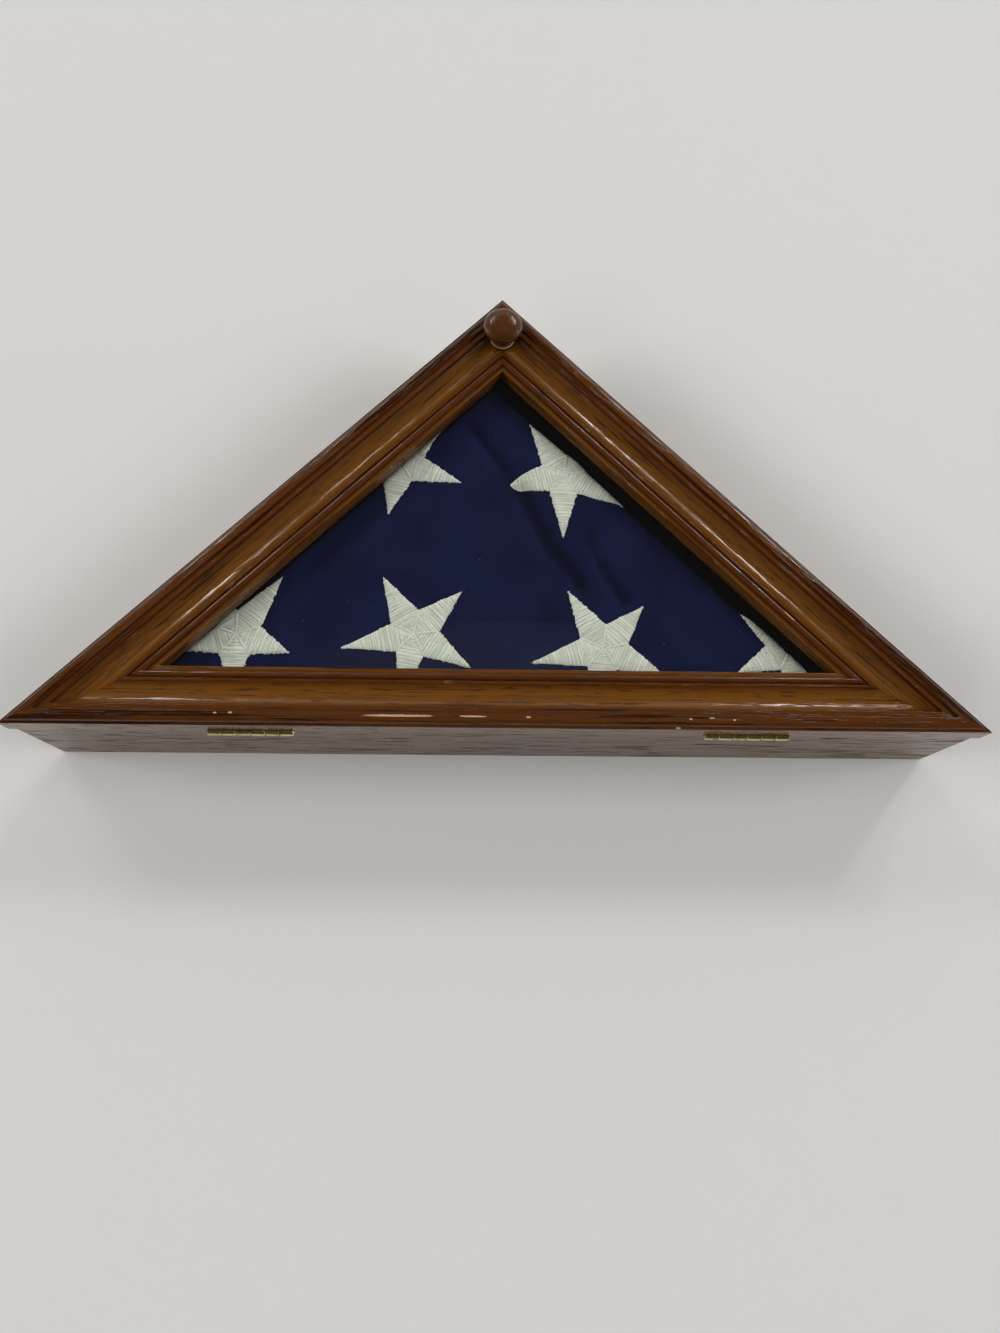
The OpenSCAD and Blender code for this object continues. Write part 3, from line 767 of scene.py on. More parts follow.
def brad_cutters(places, side):
    """Short holes inwards from a side's outer face, at (along, height) places."""
    to_row = side_matrix(side)
    return [rod_cutter(to_row @ Vector((u, -MM, z)), to_row @ Vector((u, BRAD_HOLE_DEPTH, z)),
                       BRAD_HOLE_R, 16) for u, z in places]


def knob_centre():
    """Where the knob's axis stands, in x and y."""
    low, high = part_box("knob")
    return (low.x + high.x) / 2, (low.y + high.y) / 2


# Chips in each rail's finish, in metres: middle as (along, inset), half length and half width
MARKS = {
    BASE: [((0.2620, 0.0068), 0.024, 0.0008), ((0.3115, 0.0068), 0.009, 0.0006),
           ((0.1420, 0.0075), 0.0012, 0.0006), ((0.1520, 0.0078), 0.0015, 0.0007),
           ((0.3480, 0.0066), 0.0016, 0.0006), ((0.4560, 0.0064), 0.0012, 0.0006),
           ((0.4700, 0.0072), 0.0020, 0.0005), ((0.4850, 0.0060), 0.0010, 0.0006),
           ((0.4480, 0.0010), 0.0018, 0.0008)],
    RIGHT: [((0.1500, 0.0350), 0.005, 0.0004)],
    LEFT: [],
}


class FLAGCASE_OT_mouldings(bpy.types.Operator):
    """Builds the three mitred, moulded rails of the door"""

    bl_idname = "flagcase.mouldings"
    bl_label = "Door mouldings"

    def execute(self, context):
        m = context.scene.flagcase_moulding
        w = context.scene.flagcase_wood
        outline, arrises = rail_outline(m)
        outline = [Vector((p.x, p.y + DOOR_Z)) for p in outline]
        knob_x, knob_y = knob_centre()
        brad_z = DOOR_Z + m.edge_h / 2
        corner_brad = 0.4 * m.rail_w * CORNER_DRAW
        brads = {BASE: [(corner_brad, brad_z), (2 * HALF_W - corner_brad, brad_z)],
                 LEFT: [(0.34 * m.rail_w, brad_z)], RIGHT: []}
        for side in (BASE, RIGHT, LEFT):
            name = f"door_{SIDE_NAMES[side]}_rail"
            piece = mitred_sweep(name + "_moulding", outline, side, 90, MITRE_GAP)
            cutters = brad_cutters(brads[side], side)
            if side == BASE:
                cutters += hinge_cutters(DOOR_Z, True)
            else:
                seat_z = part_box("knob")[0].z
                cutters.append(rod_cutter((knob_x, knob_y, seat_z),
                                          (knob_x, knob_y, seat_z + KNOB_SEAT_H), KNOB_SEAT_R, 64))
            cut(piece, cutters)
            smooth(piece)
            mark_section(piece, side, DOOR_Z, arrises, 0.9 * MM, lambda p: moulding_stain(m, p))
            material = wood_material(
                f"stained_moulding_{SIDE_NAMES[side]}", lambda tree, s=side: along_grain(tree, s),
                w.frame_light, w.frame_dark, wear=w.wear, bare=w.bare, marks=MARKS[side])
            finish_piece(piece, material, "door", [name])
        return {"FINISHED"}


class FLAGCASE_OT_boards(bpy.types.Operator):
    """Builds the three mitred boards of the case"""

    bl_idname = "flagcase.boards"
    bl_label = "Case boards"

    def execute(self, context):
        m = context.scene.flagcase_moulding
        w = context.scene.flagcase_wood
        outline, arrises = board_outline(m)
        crossing = 0.8 * (m.overhang + m.board_t) * CORNER_DRAW
        levels = (0.28 * CASE_TOP_Z, 0.72 * CASE_TOP_Z)
        brads = {BASE: [(u, z) for z in levels for u in (crossing, 2 * HALF_W - crossing)],
                 LEFT: [(m.overhang + m.board_t / 2, z) for z in levels], RIGHT: []}
        for side in (BASE, RIGHT, LEFT):
            name = f"{SIDE_NAMES[side]}_board"
            piece = mitred_sweep(name + "_stained", outline, side, 24, MITRE_GAP)
            cutters = brad_cutters(brads[side], side)
            if side == BASE:
                cutters += hinge_cutters(CASE_TOP_Z, False)
            if cutters:
                cut(piece, cutters)
            smooth(piece)
            mark_section(piece, side, 0, arrises, 1.0 * MM)
            material = wood_material(
                f"stained_board_{SIDE_NAMES[side]}", lambda tree, s=side: along_grain(tree, s),
                w.board_light, w.board_dark, wear=w.wear, bare=w.bare, roughness=0.24, pores=0.7,
                relief=0.2 * MM, coarse=1.7)
            finish_piece(piece, material, "case", [name])
        return {"FINISHED"}


# The knob: radii of its foot and neck, height and half width of the two pale lines of painted highlight
# round its foot, drawn as worn wood, how far the head rises above its widest ring and falls below it, the
# head's first angle and its sweep in degrees, and the power that flattens its sides (1 is round)
KNOB_FOOT_R = 9.6 * MM
KNOB_NECK_R = 7.2 * MM
KNOB_HIGHLIGHT_LINES_Z = (2.9 * MM, 5.6 * MM)
KNOB_HIGHLIGHT_LINE_W = 0.35 * MM
KNOB_HEAD_UP = 7.4 * MM
KNOB_HEAD_DOWN = 7.2 * MM
KNOB_HEAD_START = -62
KNOB_HEAD_TURN = 152
KNOB_ROUNDNESS = 0.72


def knob_outline(head_r, tall):
    """Half section of the knob from the middle of its foot to the middle of its top."""
    outline = [(0, 0), (KNOB_FOOT_R - 0.4 * MM, 0)]
    outline += arc((KNOB_FOOT_R - 1.5 * MM, 1.7 * MM), 1.5 * MM, -40, 90, 8)
    outline += arc((KNOB_NECK_R + 1.0 * MM, 4.3 * MM), 1.0 * MM, 230, 180, 4)
    outline += [(KNOB_NECK_R, 6.0 * MM)]
    mid = tall - KNOB_HEAD_UP
    steps = 26
    for i in range(1, steps):
        turn = math.radians(KNOB_HEAD_START + KNOB_HEAD_TURN * i / steps)
        up = KNOB_HEAD_DOWN if turn < 0 else KNOB_HEAD_UP
        outline.append((head_r * max(0.0, math.cos(turn)) ** KNOB_ROUNDNESS,
                        mid + up * math.sin(turn)))
    return outline + [(0, tall)]


def upright_grain(tree):
    """Coordinates whose x runs up the piece, for wood that is turned on its end."""
    return tree.node("ShaderNodeMapping", {
        "Vector": tree.place(), "Rotation": (0, math.radians(90), 0)}).outputs["Vector"]


class FLAGCASE_OT_knob(bpy.types.Operator):
    """Turns the knob"""

    bl_idname = "flagcase.knob"
    bl_label = "Turned knob"

    def execute(self, context):
        w = context.scene.flagcase_wood
        low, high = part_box("knob")
        verts, faces = lathe(knob_outline((high.x - low.x) / 2, high.z - low.z), 72)
        seat = Vector((*knob_centre(), low.z))
        piece = turned_object("knob_turned", [v + seat for v in verts], faces, KNOB_SHARP)
        # Painted highlight: the arris attribute marks two lines round the foot, which the heavy wear below
        # paints as pale, worn wood.
        nearness = piece.data.attributes.new("arris", "FLOAT", "POINT")
        for vertex, value in zip(piece.data.vertices, nearness.data):
            up = vertex.co.z - low.z
            value.value = max(math.exp(-((up - ring) / KNOB_HIGHLIGHT_LINE_W) ** 2) for ring in KNOB_HIGHLIGHT_LINES_Z)
        # The high wear and pale bare colour paint the foot's two highlight lines.
        material = wood_material("turned_knob", upright_grain, w.knob_light, w.knob_dark, wear=0.6,
                                 bare=(0.30, 0.20, 0.14), roughness=0.20, pores=0.3,
                                 relief=0.05 * MM)
        finish_piece(piece, material, "door", ["knob"])
        return {"FINISHED"}


class FLAGCASE_OT_plain_wood(bpy.types.Operator):
    """Finishes the glass stops and the back panel"""

    bl_idname = "flagcase.plain_wood"
    bl_label = "Glass stops and back panel"

    def execute(self, context):
        w = context.scene.flagcase_wood
        for side in (BASE, RIGHT, LEFT):
            material = wood_material(
                f"stained_stop_{SIDE_NAMES[side]}", lambda tree, s=side: along_grain(tree, s),
                w.board_light, w.board_dark, roughness=0.45, coat=0.1)
            set_material(f"{SIDE_NAMES[side]}_glass_stop", material)
        panel = wood_material("plywood", lambda tree: along_grain(tree, BASE), (0.52, 0.36, 0.20),
                              (0.36, 0.22, 0.11), roughness=0.6, figure=1.1, pores=0.3)
        set_material("back_panel", panel)
        return {"FINISHED"}


def set_material(node, material):
    """Assigns a material to all slots of a CAD node that stays."""
    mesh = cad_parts[node].data
    if not mesh.materials:
        mesh.materials.append(material)
    for index in range(len(mesh.materials)):
        mesh.materials[index] = material


# ---- Metal ----------------------------------------------------------------------------------


def metal_material(name, clean, dull, amount, roughness):
    material, tree, shader = new_material(name, Metallic=1.0)
    place = tree.place()
    aged = use(tree, effect("tarnish"), Vector=place, Amount=amount)
    tree.link(tree.mix(tree.maths("MULTIPLY", aged["Mask"], 3.0, clamp=True), rgba(clean), rgba(dull)),
              shader.inputs["Base Color"])
    rough = tree.maths("MULTIPLY_ADD", aged["Rub"], 0.16, roughness - 0.08)
    tree.link(tree.maths("MULTIPLY_ADD", aged["Mask"], 0.8, rough), shader.inputs["Roughness"])
    bump(tree, shader, aged["Rub"], 0.1, 0.00005)
    return material


def gritty_material(name, dark, light, specular, grains, rough, relief):
    """A dull solid with fine grains: their scale, detail and roughness, the span and the least of the
    surface's roughness, and the bump's strength and distance."""
    material, tree, shader = new_material(name, Specular_IOR_Level=specular)
    grit = tree.noise(tree.place(), *grains)
    tree.link(tree.mix(grit, dark, light), shader.inputs["Base Color"])
    tree.link(tree.maths("MULTIPLY_ADD", grit, *rough), shader.inputs["Roughness"])
    bump(tree, shader, grit, *relief)
    return material


def knuckle(bm, x0, x1, axis):
    """One rolled knuckle: a tube along x with chamfered ends."""
    steps = 40
    end_r = KNUCKLE_R - KNUCKLE_CHAMFER
    rings = [(x0, KNUCKLE_BORE_R), (x0, end_r), (x0 + KNUCKLE_CHAMFER, KNUCKLE_R),
             (x1 - KNUCKLE_CHAMFER, KNUCKLE_R), (x1, end_r), (x1, KNUCKLE_BORE_R)]
    verts = []
    for k in range(steps):
        turn = 2 * math.pi * k / steps
        verts.append([bm.verts.new((x, axis.y + r * math.cos(turn), axis.z + r * math.sin(turn)))
                      for x, r in rings])
    for k in range(steps):
        here, following = verts[k], verts[(k + 1) % steps]
        for i in range(len(rings)):
            j = (i + 1) % len(rings)
            bm.faces.new((here[i], here[j], following[j], following[i]))


def plate(bm, low, high, bevel):
    """A flat plate with eased edges."""
    made = add_box(bm, low, high)
    edges = list({e for v in made for e in v.link_edges})
    bmesh.ops.bevel(bm, geom=edges, offset=bevel, segments=2, affect="EDGES", profile=0.5)


class FLAGCASE_OT_hinges(bpy.types.Operator):
    """Builds the two brass hinges"""

    bl_idname = "flagcase.hinges"
    bl_label = "Brass hinges"

    def execute(self, context):
        metal = context.scene.flagcase_metal
        dull = metal_material("dull_brass", metal.brass, metal.tarnish, 0.6, 0.30)
        bright = metal_material("bright_brass", metal.brass, metal.tarnish, 0.35, 0.15)
        for hand in ("left", "right"):
            pin_low, pin_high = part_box(f"{hand}_hinge_pin")
            axis = (pin_low + pin_high) / 2
            self.build_leaf(hand, "case_leaf", "case", 0, axis, dull)
            self.build_leaf(hand, "door_leaf", "door", 1, axis, bright)
            self.build_pin(hand, pin_low, pin_high, axis, dull)
        for node in ("case_leaf_screws", "door_leaf_screws"):
            set_material(node, dull)
        return {"FINISHED"}

    def build_leaf(self, hand, leaf, body, first, axis, brass):
        name = f"{hand}_hinge_{leaf}"
        low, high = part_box(name)
        pin_low, pin_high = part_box(f"{hand}_hinge_pin")
        step = (pin_high.x - pin_low.x) / KNUCKLES
        top = CASE_TOP_Z if leaf == "case_leaf" else DOOR_Z + LEAF_T
        inner = axis.y + KNUCKLE_R + 0.3 * MM
        bm = bmesh.new()
        plate(bm, (pin_low.x, inner, top - LEAF_T), (pin_high.x, high.y, top), 0.15 * MM)
        for i in range(first, KNUCKLES, 2):
            x0 = pin_low.x + i * step + KNUCKLE_GAP / 2
            x1 = pin_low.x + (i + 1) * step - KNUCKLE_GAP / 2
            knuckle(bm, x0, x1, axis)
            plate(bm, (x0, axis.y + 1.5 * MM, top - LEAF_T), (x1, inner + 0.5 * MM, top), 0.1 * MM)
        bmesh.ops.recalc_face_normals(bm, faces=bm.faces)
        piece = object_from(name + "_brass", bm)
        smooth(piece, METAL_SHARP)
        finish_piece(piece, brass, body, [name])

    def build_pin(self, hand, low, high, axis, brass):
        end_r = PIN_R - PIN_CHAMFER
        outline = [(0, low.x), (end_r, low.x), (PIN_R, low.x + PIN_CHAMFER),
                   (PIN_R, high.x - PIN_CHAMFER), (end_r, high.x), (0, high.x)]
        verts, faces = lathe(outline, 24)
        verts = [Vector((v.z, axis.y + v.x, axis.z + v.y)) for v in verts]
        piece = turned_object(f"{hand}_hinge_pin_brass", verts, faces, METAL_SHARP)
        finish_piece(piece, brass, "case", [f"{hand}_hinge_pin"])


class FLAGCASE_OT_fixings(bpy.types.Operator):
    """Finishes the steel fixings and the magnetic catch"""

    bl_idname = "flagcase.fixings"
    bl_label = "Fixings and catch"

    def execute(self, context):
        metal = context.scene.flagcase_metal
        steel = metal_material("bright_steel", metal.steel, (0.2, 0.2, 0.19), 0.4, 0.35)
        for node in ("back_panel_brads", "case_corner_brads", "door_corner_brads",
                     "glass_stop_brads", "catch_screws", "catch_pole_plates", "strike_plate",
                     "strike_screws", "knob_screw"):
            set_material(node, steel)
        ferrite = gritty_material("ferrite", (0.02, 0.02, 0.02, 1), (0.06, 0.06, 0.06, 1),
                                  specular=0.4, grains=(900.0, 4.0, 0.7), rough=(0.3, 0.45),
                                  relief=(0.3, 0.0001))
        set_material("catch_magnet", ferrite)
        plastic = gritty_material("brown_plastic", (0.035, 0.016, 0.008, 1),
                                  (0.05, 0.024, 0.012, 1), specular=0.45,
                                  grains=(1500.0, 2.0, 0.6), rough=(0.2, 0.35),
                                  relief=(0.15, 0.00005))
        set_material("catch_housing", plastic)
        return {"FINISHED"}


# ---- Glass ----------------------------------------------------------------------------------


class FLAGCASE_OT_glass(bpy.types.Operator):
    """Finishes the pane as clear glass that lets the lamps' light through"""

    bl_idname = "flagcase.glass"
    bl_label = "Glass pane"

    def execute(self, context):
        material, tree, shader = new_material("clear_float_glass", Transmission_Weight=1.0,
                                              IOR=1.45, Base_Color=(0.97, 0.985, 0.98, 1))
        place = tree.place()
        haze = tree.noise(place, 14.0, 4.0, 0.6)
        tree.link(tree.ramp(haze, (0.45, 0.0), (0.8, 0.02)), shader.inputs["Roughness"])
        clear = tree.node("ShaderNodeBsdfTransparent", {"Color": (0.93, 0.95, 0.945, 1)})
        shadow = tree.node("ShaderNodeLightPath").outputs["Is Shadow Ray"]
        mixed = tree.node("ShaderNodeMixShader", {0: shadow, 1: shader.outputs[0],
                                                  2: clear.outputs[0]})
        output = next(n for n in tree.tree.nodes if n.type == "OUTPUT_MATERIAL")
        tree.link(mixed.outputs[0], output.inputs["Surface"])
        set_material("glass_pane", material)
        return {"FINISHED"}


# ---- Flag -----------------------------------------------------------------------------------

# Each star: name, middle in millimetres, then the reach in millimetres and the turn in degrees of each
# arm, clockwise from the topmost
STARS = (
    ("centre_left", (-60.7, -92.8),
     ((48.3, 28.7), (46.0, 25.9), (47.0, 22.6), (46.0, 26.0), (51.5, 30.0))),
    ("centre_right", (72.2, -101.9),
     ((48.9, 30.0), (42.9, 29.5), (47.0, 29.0), (46.0, 30.0), (52.1, 30.5))),
    ("upper_right", (46.8, 32.3),
     ((48.2, 32.1), (48.0, 29.0), (49.8, 24.2), (50.8, 34.0), (41.0, 30.6))),
    ("upper_left", (-74.4, 40.2),
     ((46.0, 29.0), (39.5, 26.2), (48.0, 34.2), (42.6, 26.0), (46.0, 29.0))),
    ("lower_left", (-184.2, -94.4),
     ((46.0, 36.0), (52.5, 37.4), (39.7, 34.7), (44.0, 36.0), (37.8, 35.9))),
    ("lower_right", (204.2, -100.5),
     ((42.5, 52.7), (46.0, 49.0), (46.0, 46.0), (46.0, 44.0), (42.5, 42.8))),
)

# Arms that end blunt instead of in a point, and the power their width falls off with
BLUNT_ARMS = {("upper_right", 4)}
BLUNT_TAPER = 0.6

# Each crease of the cloth: its two ends, its half width and its depth, in millimetres
CREASES = (
    ((-27, 77), (11, 24), 5.0, 3.4),
    ((11, 24), (33, -20), 6.0, 5.0),
    ((33, -20), (61, -57), 6.5, 4.8),
    ((64, -12), (72, -36), 5.0, 3.0),
    ((72, -36), (92, -71), 6.0, 4.6),
    ((-20, -83), (48, -84), 2.5, 1.5),
    ((-140, -50), (-94, -3), 9.0, 2.0),
)


def smooth_step(value, low, high):
    """Rises from 0 at low to 1 at high."""
    t = min(1.0, max(0.0, (value - low) / (high - low)))
    return t * t * (3 - 2 * t)


# Height of the cloth's soft hollows, and how far a crease bends aside
SAG_H = 0.9 * MM
CREASE_BEND = 1.0 * MM

# Painted shade of the cloth: the depth below its top at which creases and rolled folds start to be
# painted darker, and the depth where that painted shade is darkest
FOLD_SHADE_START = 0.8 * MM
FOLD_SHADE_END = 4.0 * MM


class TopPly:
    """Shape of the flag's top ply: a flat triangle whose edges roll down round the folds."""

    def __init__(self, f):
        self.insets = {BASE: f.base_in, RIGHT: f.right_in, LEFT: f.left_in}
        self.fold_r = f.fold_r
        self.top_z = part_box("folded_flag")[1].z - f.top_gap
        self.inverse = {s: side_matrix(s).inverted() for s in (BASE, RIGHT, LEFT)}
        self.inwards = {s: (side_matrix(s).to_3x3() @ Vector((0, 1, 0))) for s in (BASE, RIGHT, LEFT)}

    def sag(self, x, y):
        """Soft hollows and folds of the upper face, as a drop in metres."""
        place = Vector((x * 9, y * 9, 0.3))
        drop = SAG_H * (noise.noise(place) + 0.5 * noise.noise(place * 2.3))
        for start, end, half_w, depth in CREASES:
            first, last = Vector(start) * MM, Vector(end) * MM
            along = (last - first).normalized()
            offset = Vector((x, y)) - first
            reach = offset.dot(along) / (last - first).length
            bend = CREASE_BEND * math.sin(math.pi * reach) * math.sin(start[0])
            aside = (along.x * offset.y - along.y * offset.x + bend) / (half_w * MM)
            fade = smooth_step(reach, -0.12, 0.12) * smooth_step(-reach, -1.15, -0.85)
            drop += depth * MM * fade * (math.exp(-aside ** 2) - 0.45 * math.exp(-(aside + 1.8) ** 2))
        return max(-0.3 * MM, drop)

    def fold_shade(self, place):
        """How much painted shade a point of the cloth gets, from 0 to 1: none near the top, most deep in
        creases and in the folds that roll down at the edges.
        """
        return smooth_step(self.top_z - place.z, FOLD_SHADE_START, FOLD_SHADE_END)

    def point(self, x, y, lift=0.0):
        """Where a point of the flat cloth lies, lifted off the cloth by some distance."""
        place = Vector((x, y, self.top_z - self.sag(x, y)))
        normal = Vector((0, 0, 1))
        for side in (BASE, RIGHT, LEFT):
            inset = (self.inverse[side] @ Vector((x, y, 0))).y
            past = self.insets[side] + self.fold_r - inset
            if past <= 0:
                continue
            turn = min(past / self.fold_r, math.pi / 2)
            rest = past - turn * self.fold_r
            place += self.inwards[side] * (past - self.fold_r * math.sin(turn))
            place.z -= self.fold_r * (1 - math.cos(turn)) + rest
            normal += Vector((0, 0, math.cos(turn) - 1)) - self.inwards[side] * math.sin(turn)
        return place + normal.normalized() * lift


# Rows of points along each stitch, and columns of points across an arm
ROWS_PER_STITCH = 3
STITCH_COLUMNS = 20

# How far in from an arm's edge the hollow beside its seam lies, the half width of seam and hollow,
# and the half width of the ridge along the arm's middle
FLANK_IN = 1.4 * MM
SEAM_W = 0.6 * MM
RIDGE_W = 0.9 * MM


# Shift of the strands' pattern from one arm to the next, so that no two arms look alike
ARM_SHIFT = 0.1


def hump(distance, half_w):
    """Smooth hump: 1 at no distance, falling to nothing past its half width."""
    return math.exp(-(distance / half_w) ** 2)


class Arm:
    """One arm of a star: a kite from the middle to the tip, padded and ribbed by its stitches."""

    def __init__(self, number, centre, heading, reach, inner, taper, pitch, rng):
        self.number, self.centre, self.reach, self.taper = number, centre, reach, taper
        self.axis = Vector((math.cos(heading), math.sin(heading)))
        self.across = Vector((-self.axis.y, self.axis.x))
        self.corners = [(corner.dot(self.axis), abs(corner.dot(self.across))) for corner in inner]
        self.stitches = max(1, round(reach / pitch))
        self.ridge_h = rng.uniform(0.0, 0.35) * MM
        self.fray = [rng.uniform(-0.5, 0.9) * MM for _ in range(self.stitches)]
        self.swell = [rng.uniform(0.3, 1.0) for _ in range(self.stitches)]
        self.ends = [0.0]
        for _ in range(self.stitches):
            self.ends.append(self.ends[-1] + rng.uniform(0.55, 1.45))

    def half_width(self, s, waist, half_w):
        """Half width on one side at a distance from the middle: widest at the inner corner."""
        if s <= waist:
            return half_w * (s / waist)
        return half_w * (max(0.0, self.reach - s) / (self.reach - waist)) ** self.taper

    def point(self, row, t):
        """Flat place, lift off the cloth and stitch data at a row, t from -1 to 1 across; the stitch
        data's third value is painted light and shade: low between stitches and in the hollows beside the
        seams, high on the seams.
        """
        stitch = min(row // ROWS_PER_STITCH, self.stitches - 1)
        part = row / ROWS_PER_STITCH - stitch
        s = self.ends[stitch] * (1 - part) + self.ends[stitch + 1] * part
        s = self.reach * s / self.ends[-1]
        rib = math.sin(math.pi * part)
        widths = [self.half_width(s, waist, half_w) for waist, half_w in self.corners]
        width = max(0.0, widths[0] if t < 0 else widths[1])
        loop = self.fray[stitch] * rib if abs(t) == 1 and s > self.corners[0][0] else 0
        flat = self.centre + self.axis * s + self.across * t * (width + loop)
        within = smooth_step(self.corners[t > 0][0] - s, -1.0 * MM, 3.0 * MM)
        crown = max(math.sqrt(max(0.0, 1 - t * t)), 0.85 * within)
        crown *= min(1.0, (widths[0] + widths[1]) / (6 * MM))
        off_seam = (1 - abs(t)) * width
        seam = within * hump(off_seam, SEAM_W)
        flank = within * hump(off_seam - FLANK_IN, SEAM_W)
        ridge = self.ridge_h * hump(t * width, RIDGE_W) * crown
        swell = self.swell[stitch] * abs(rib)
        lift = (0.25 + 0.75 * crown + 0.45 * swell * crown) * MM
        lift += ridge + (0.35 * seam - 0.2 * flank) * MM
        # Painted light and shade of the stitches: dark where two stitches meet and in the hollow beside
        # the seam, full on the seam.
        stitch_light_and_shade = swell * (1 - 0.6 * flank) + seam
        return flat, lift, Vector((s + self.number * ARM_SHIFT, t * width, stitch_light_and_shade))


def closed_shell(top, bottom, faces):
    """Vertices and faces of a solid between two like sheets of points."""
    n = len(top)
    uses = {}
    for face in faces:
        for a, b in zip(face, face[1:] + face[:1]):
            uses[(a, b)] = True
    rim = [(a, b) for a, b in uses if (b, a) not in uses]
    shell = list(faces) + [tuple(n + i for i in reversed(face)) for face in faces]
    shell += [(b, a, n + a, n + b) for a, b in rim]
    return list(top) + list(bottom), shell


# The pack: thickness of the top ply, rows of points in it, the hem under its folds, how far the
# bundles' tops lie below it, the bundles' inset from the base edge, how far the upper bundles and the
# top ones are tucked in, the bundles' corner radius, their plies and the seed of their folds
PLY_T = 0.8 * MM
PLY_ROWS = 150
HEM_W = 14 * MM
BUNDLE_DROP = 7.5 * MM
BUNDLE_BASE_IN = 17 * MM
UPPER_TUCK = 8 * MM
TOP_TUCK = 5 * MM
BUNDLE_CORNER_R = 13 * MM
BUNDLE_PLIES = 4
FOLD_SEED = 7

# How far the stitching reaches into the cloth, and the distance at which its points are welded
SKIRT_H = 0.9 * MM
WELD = 0.02 * MM


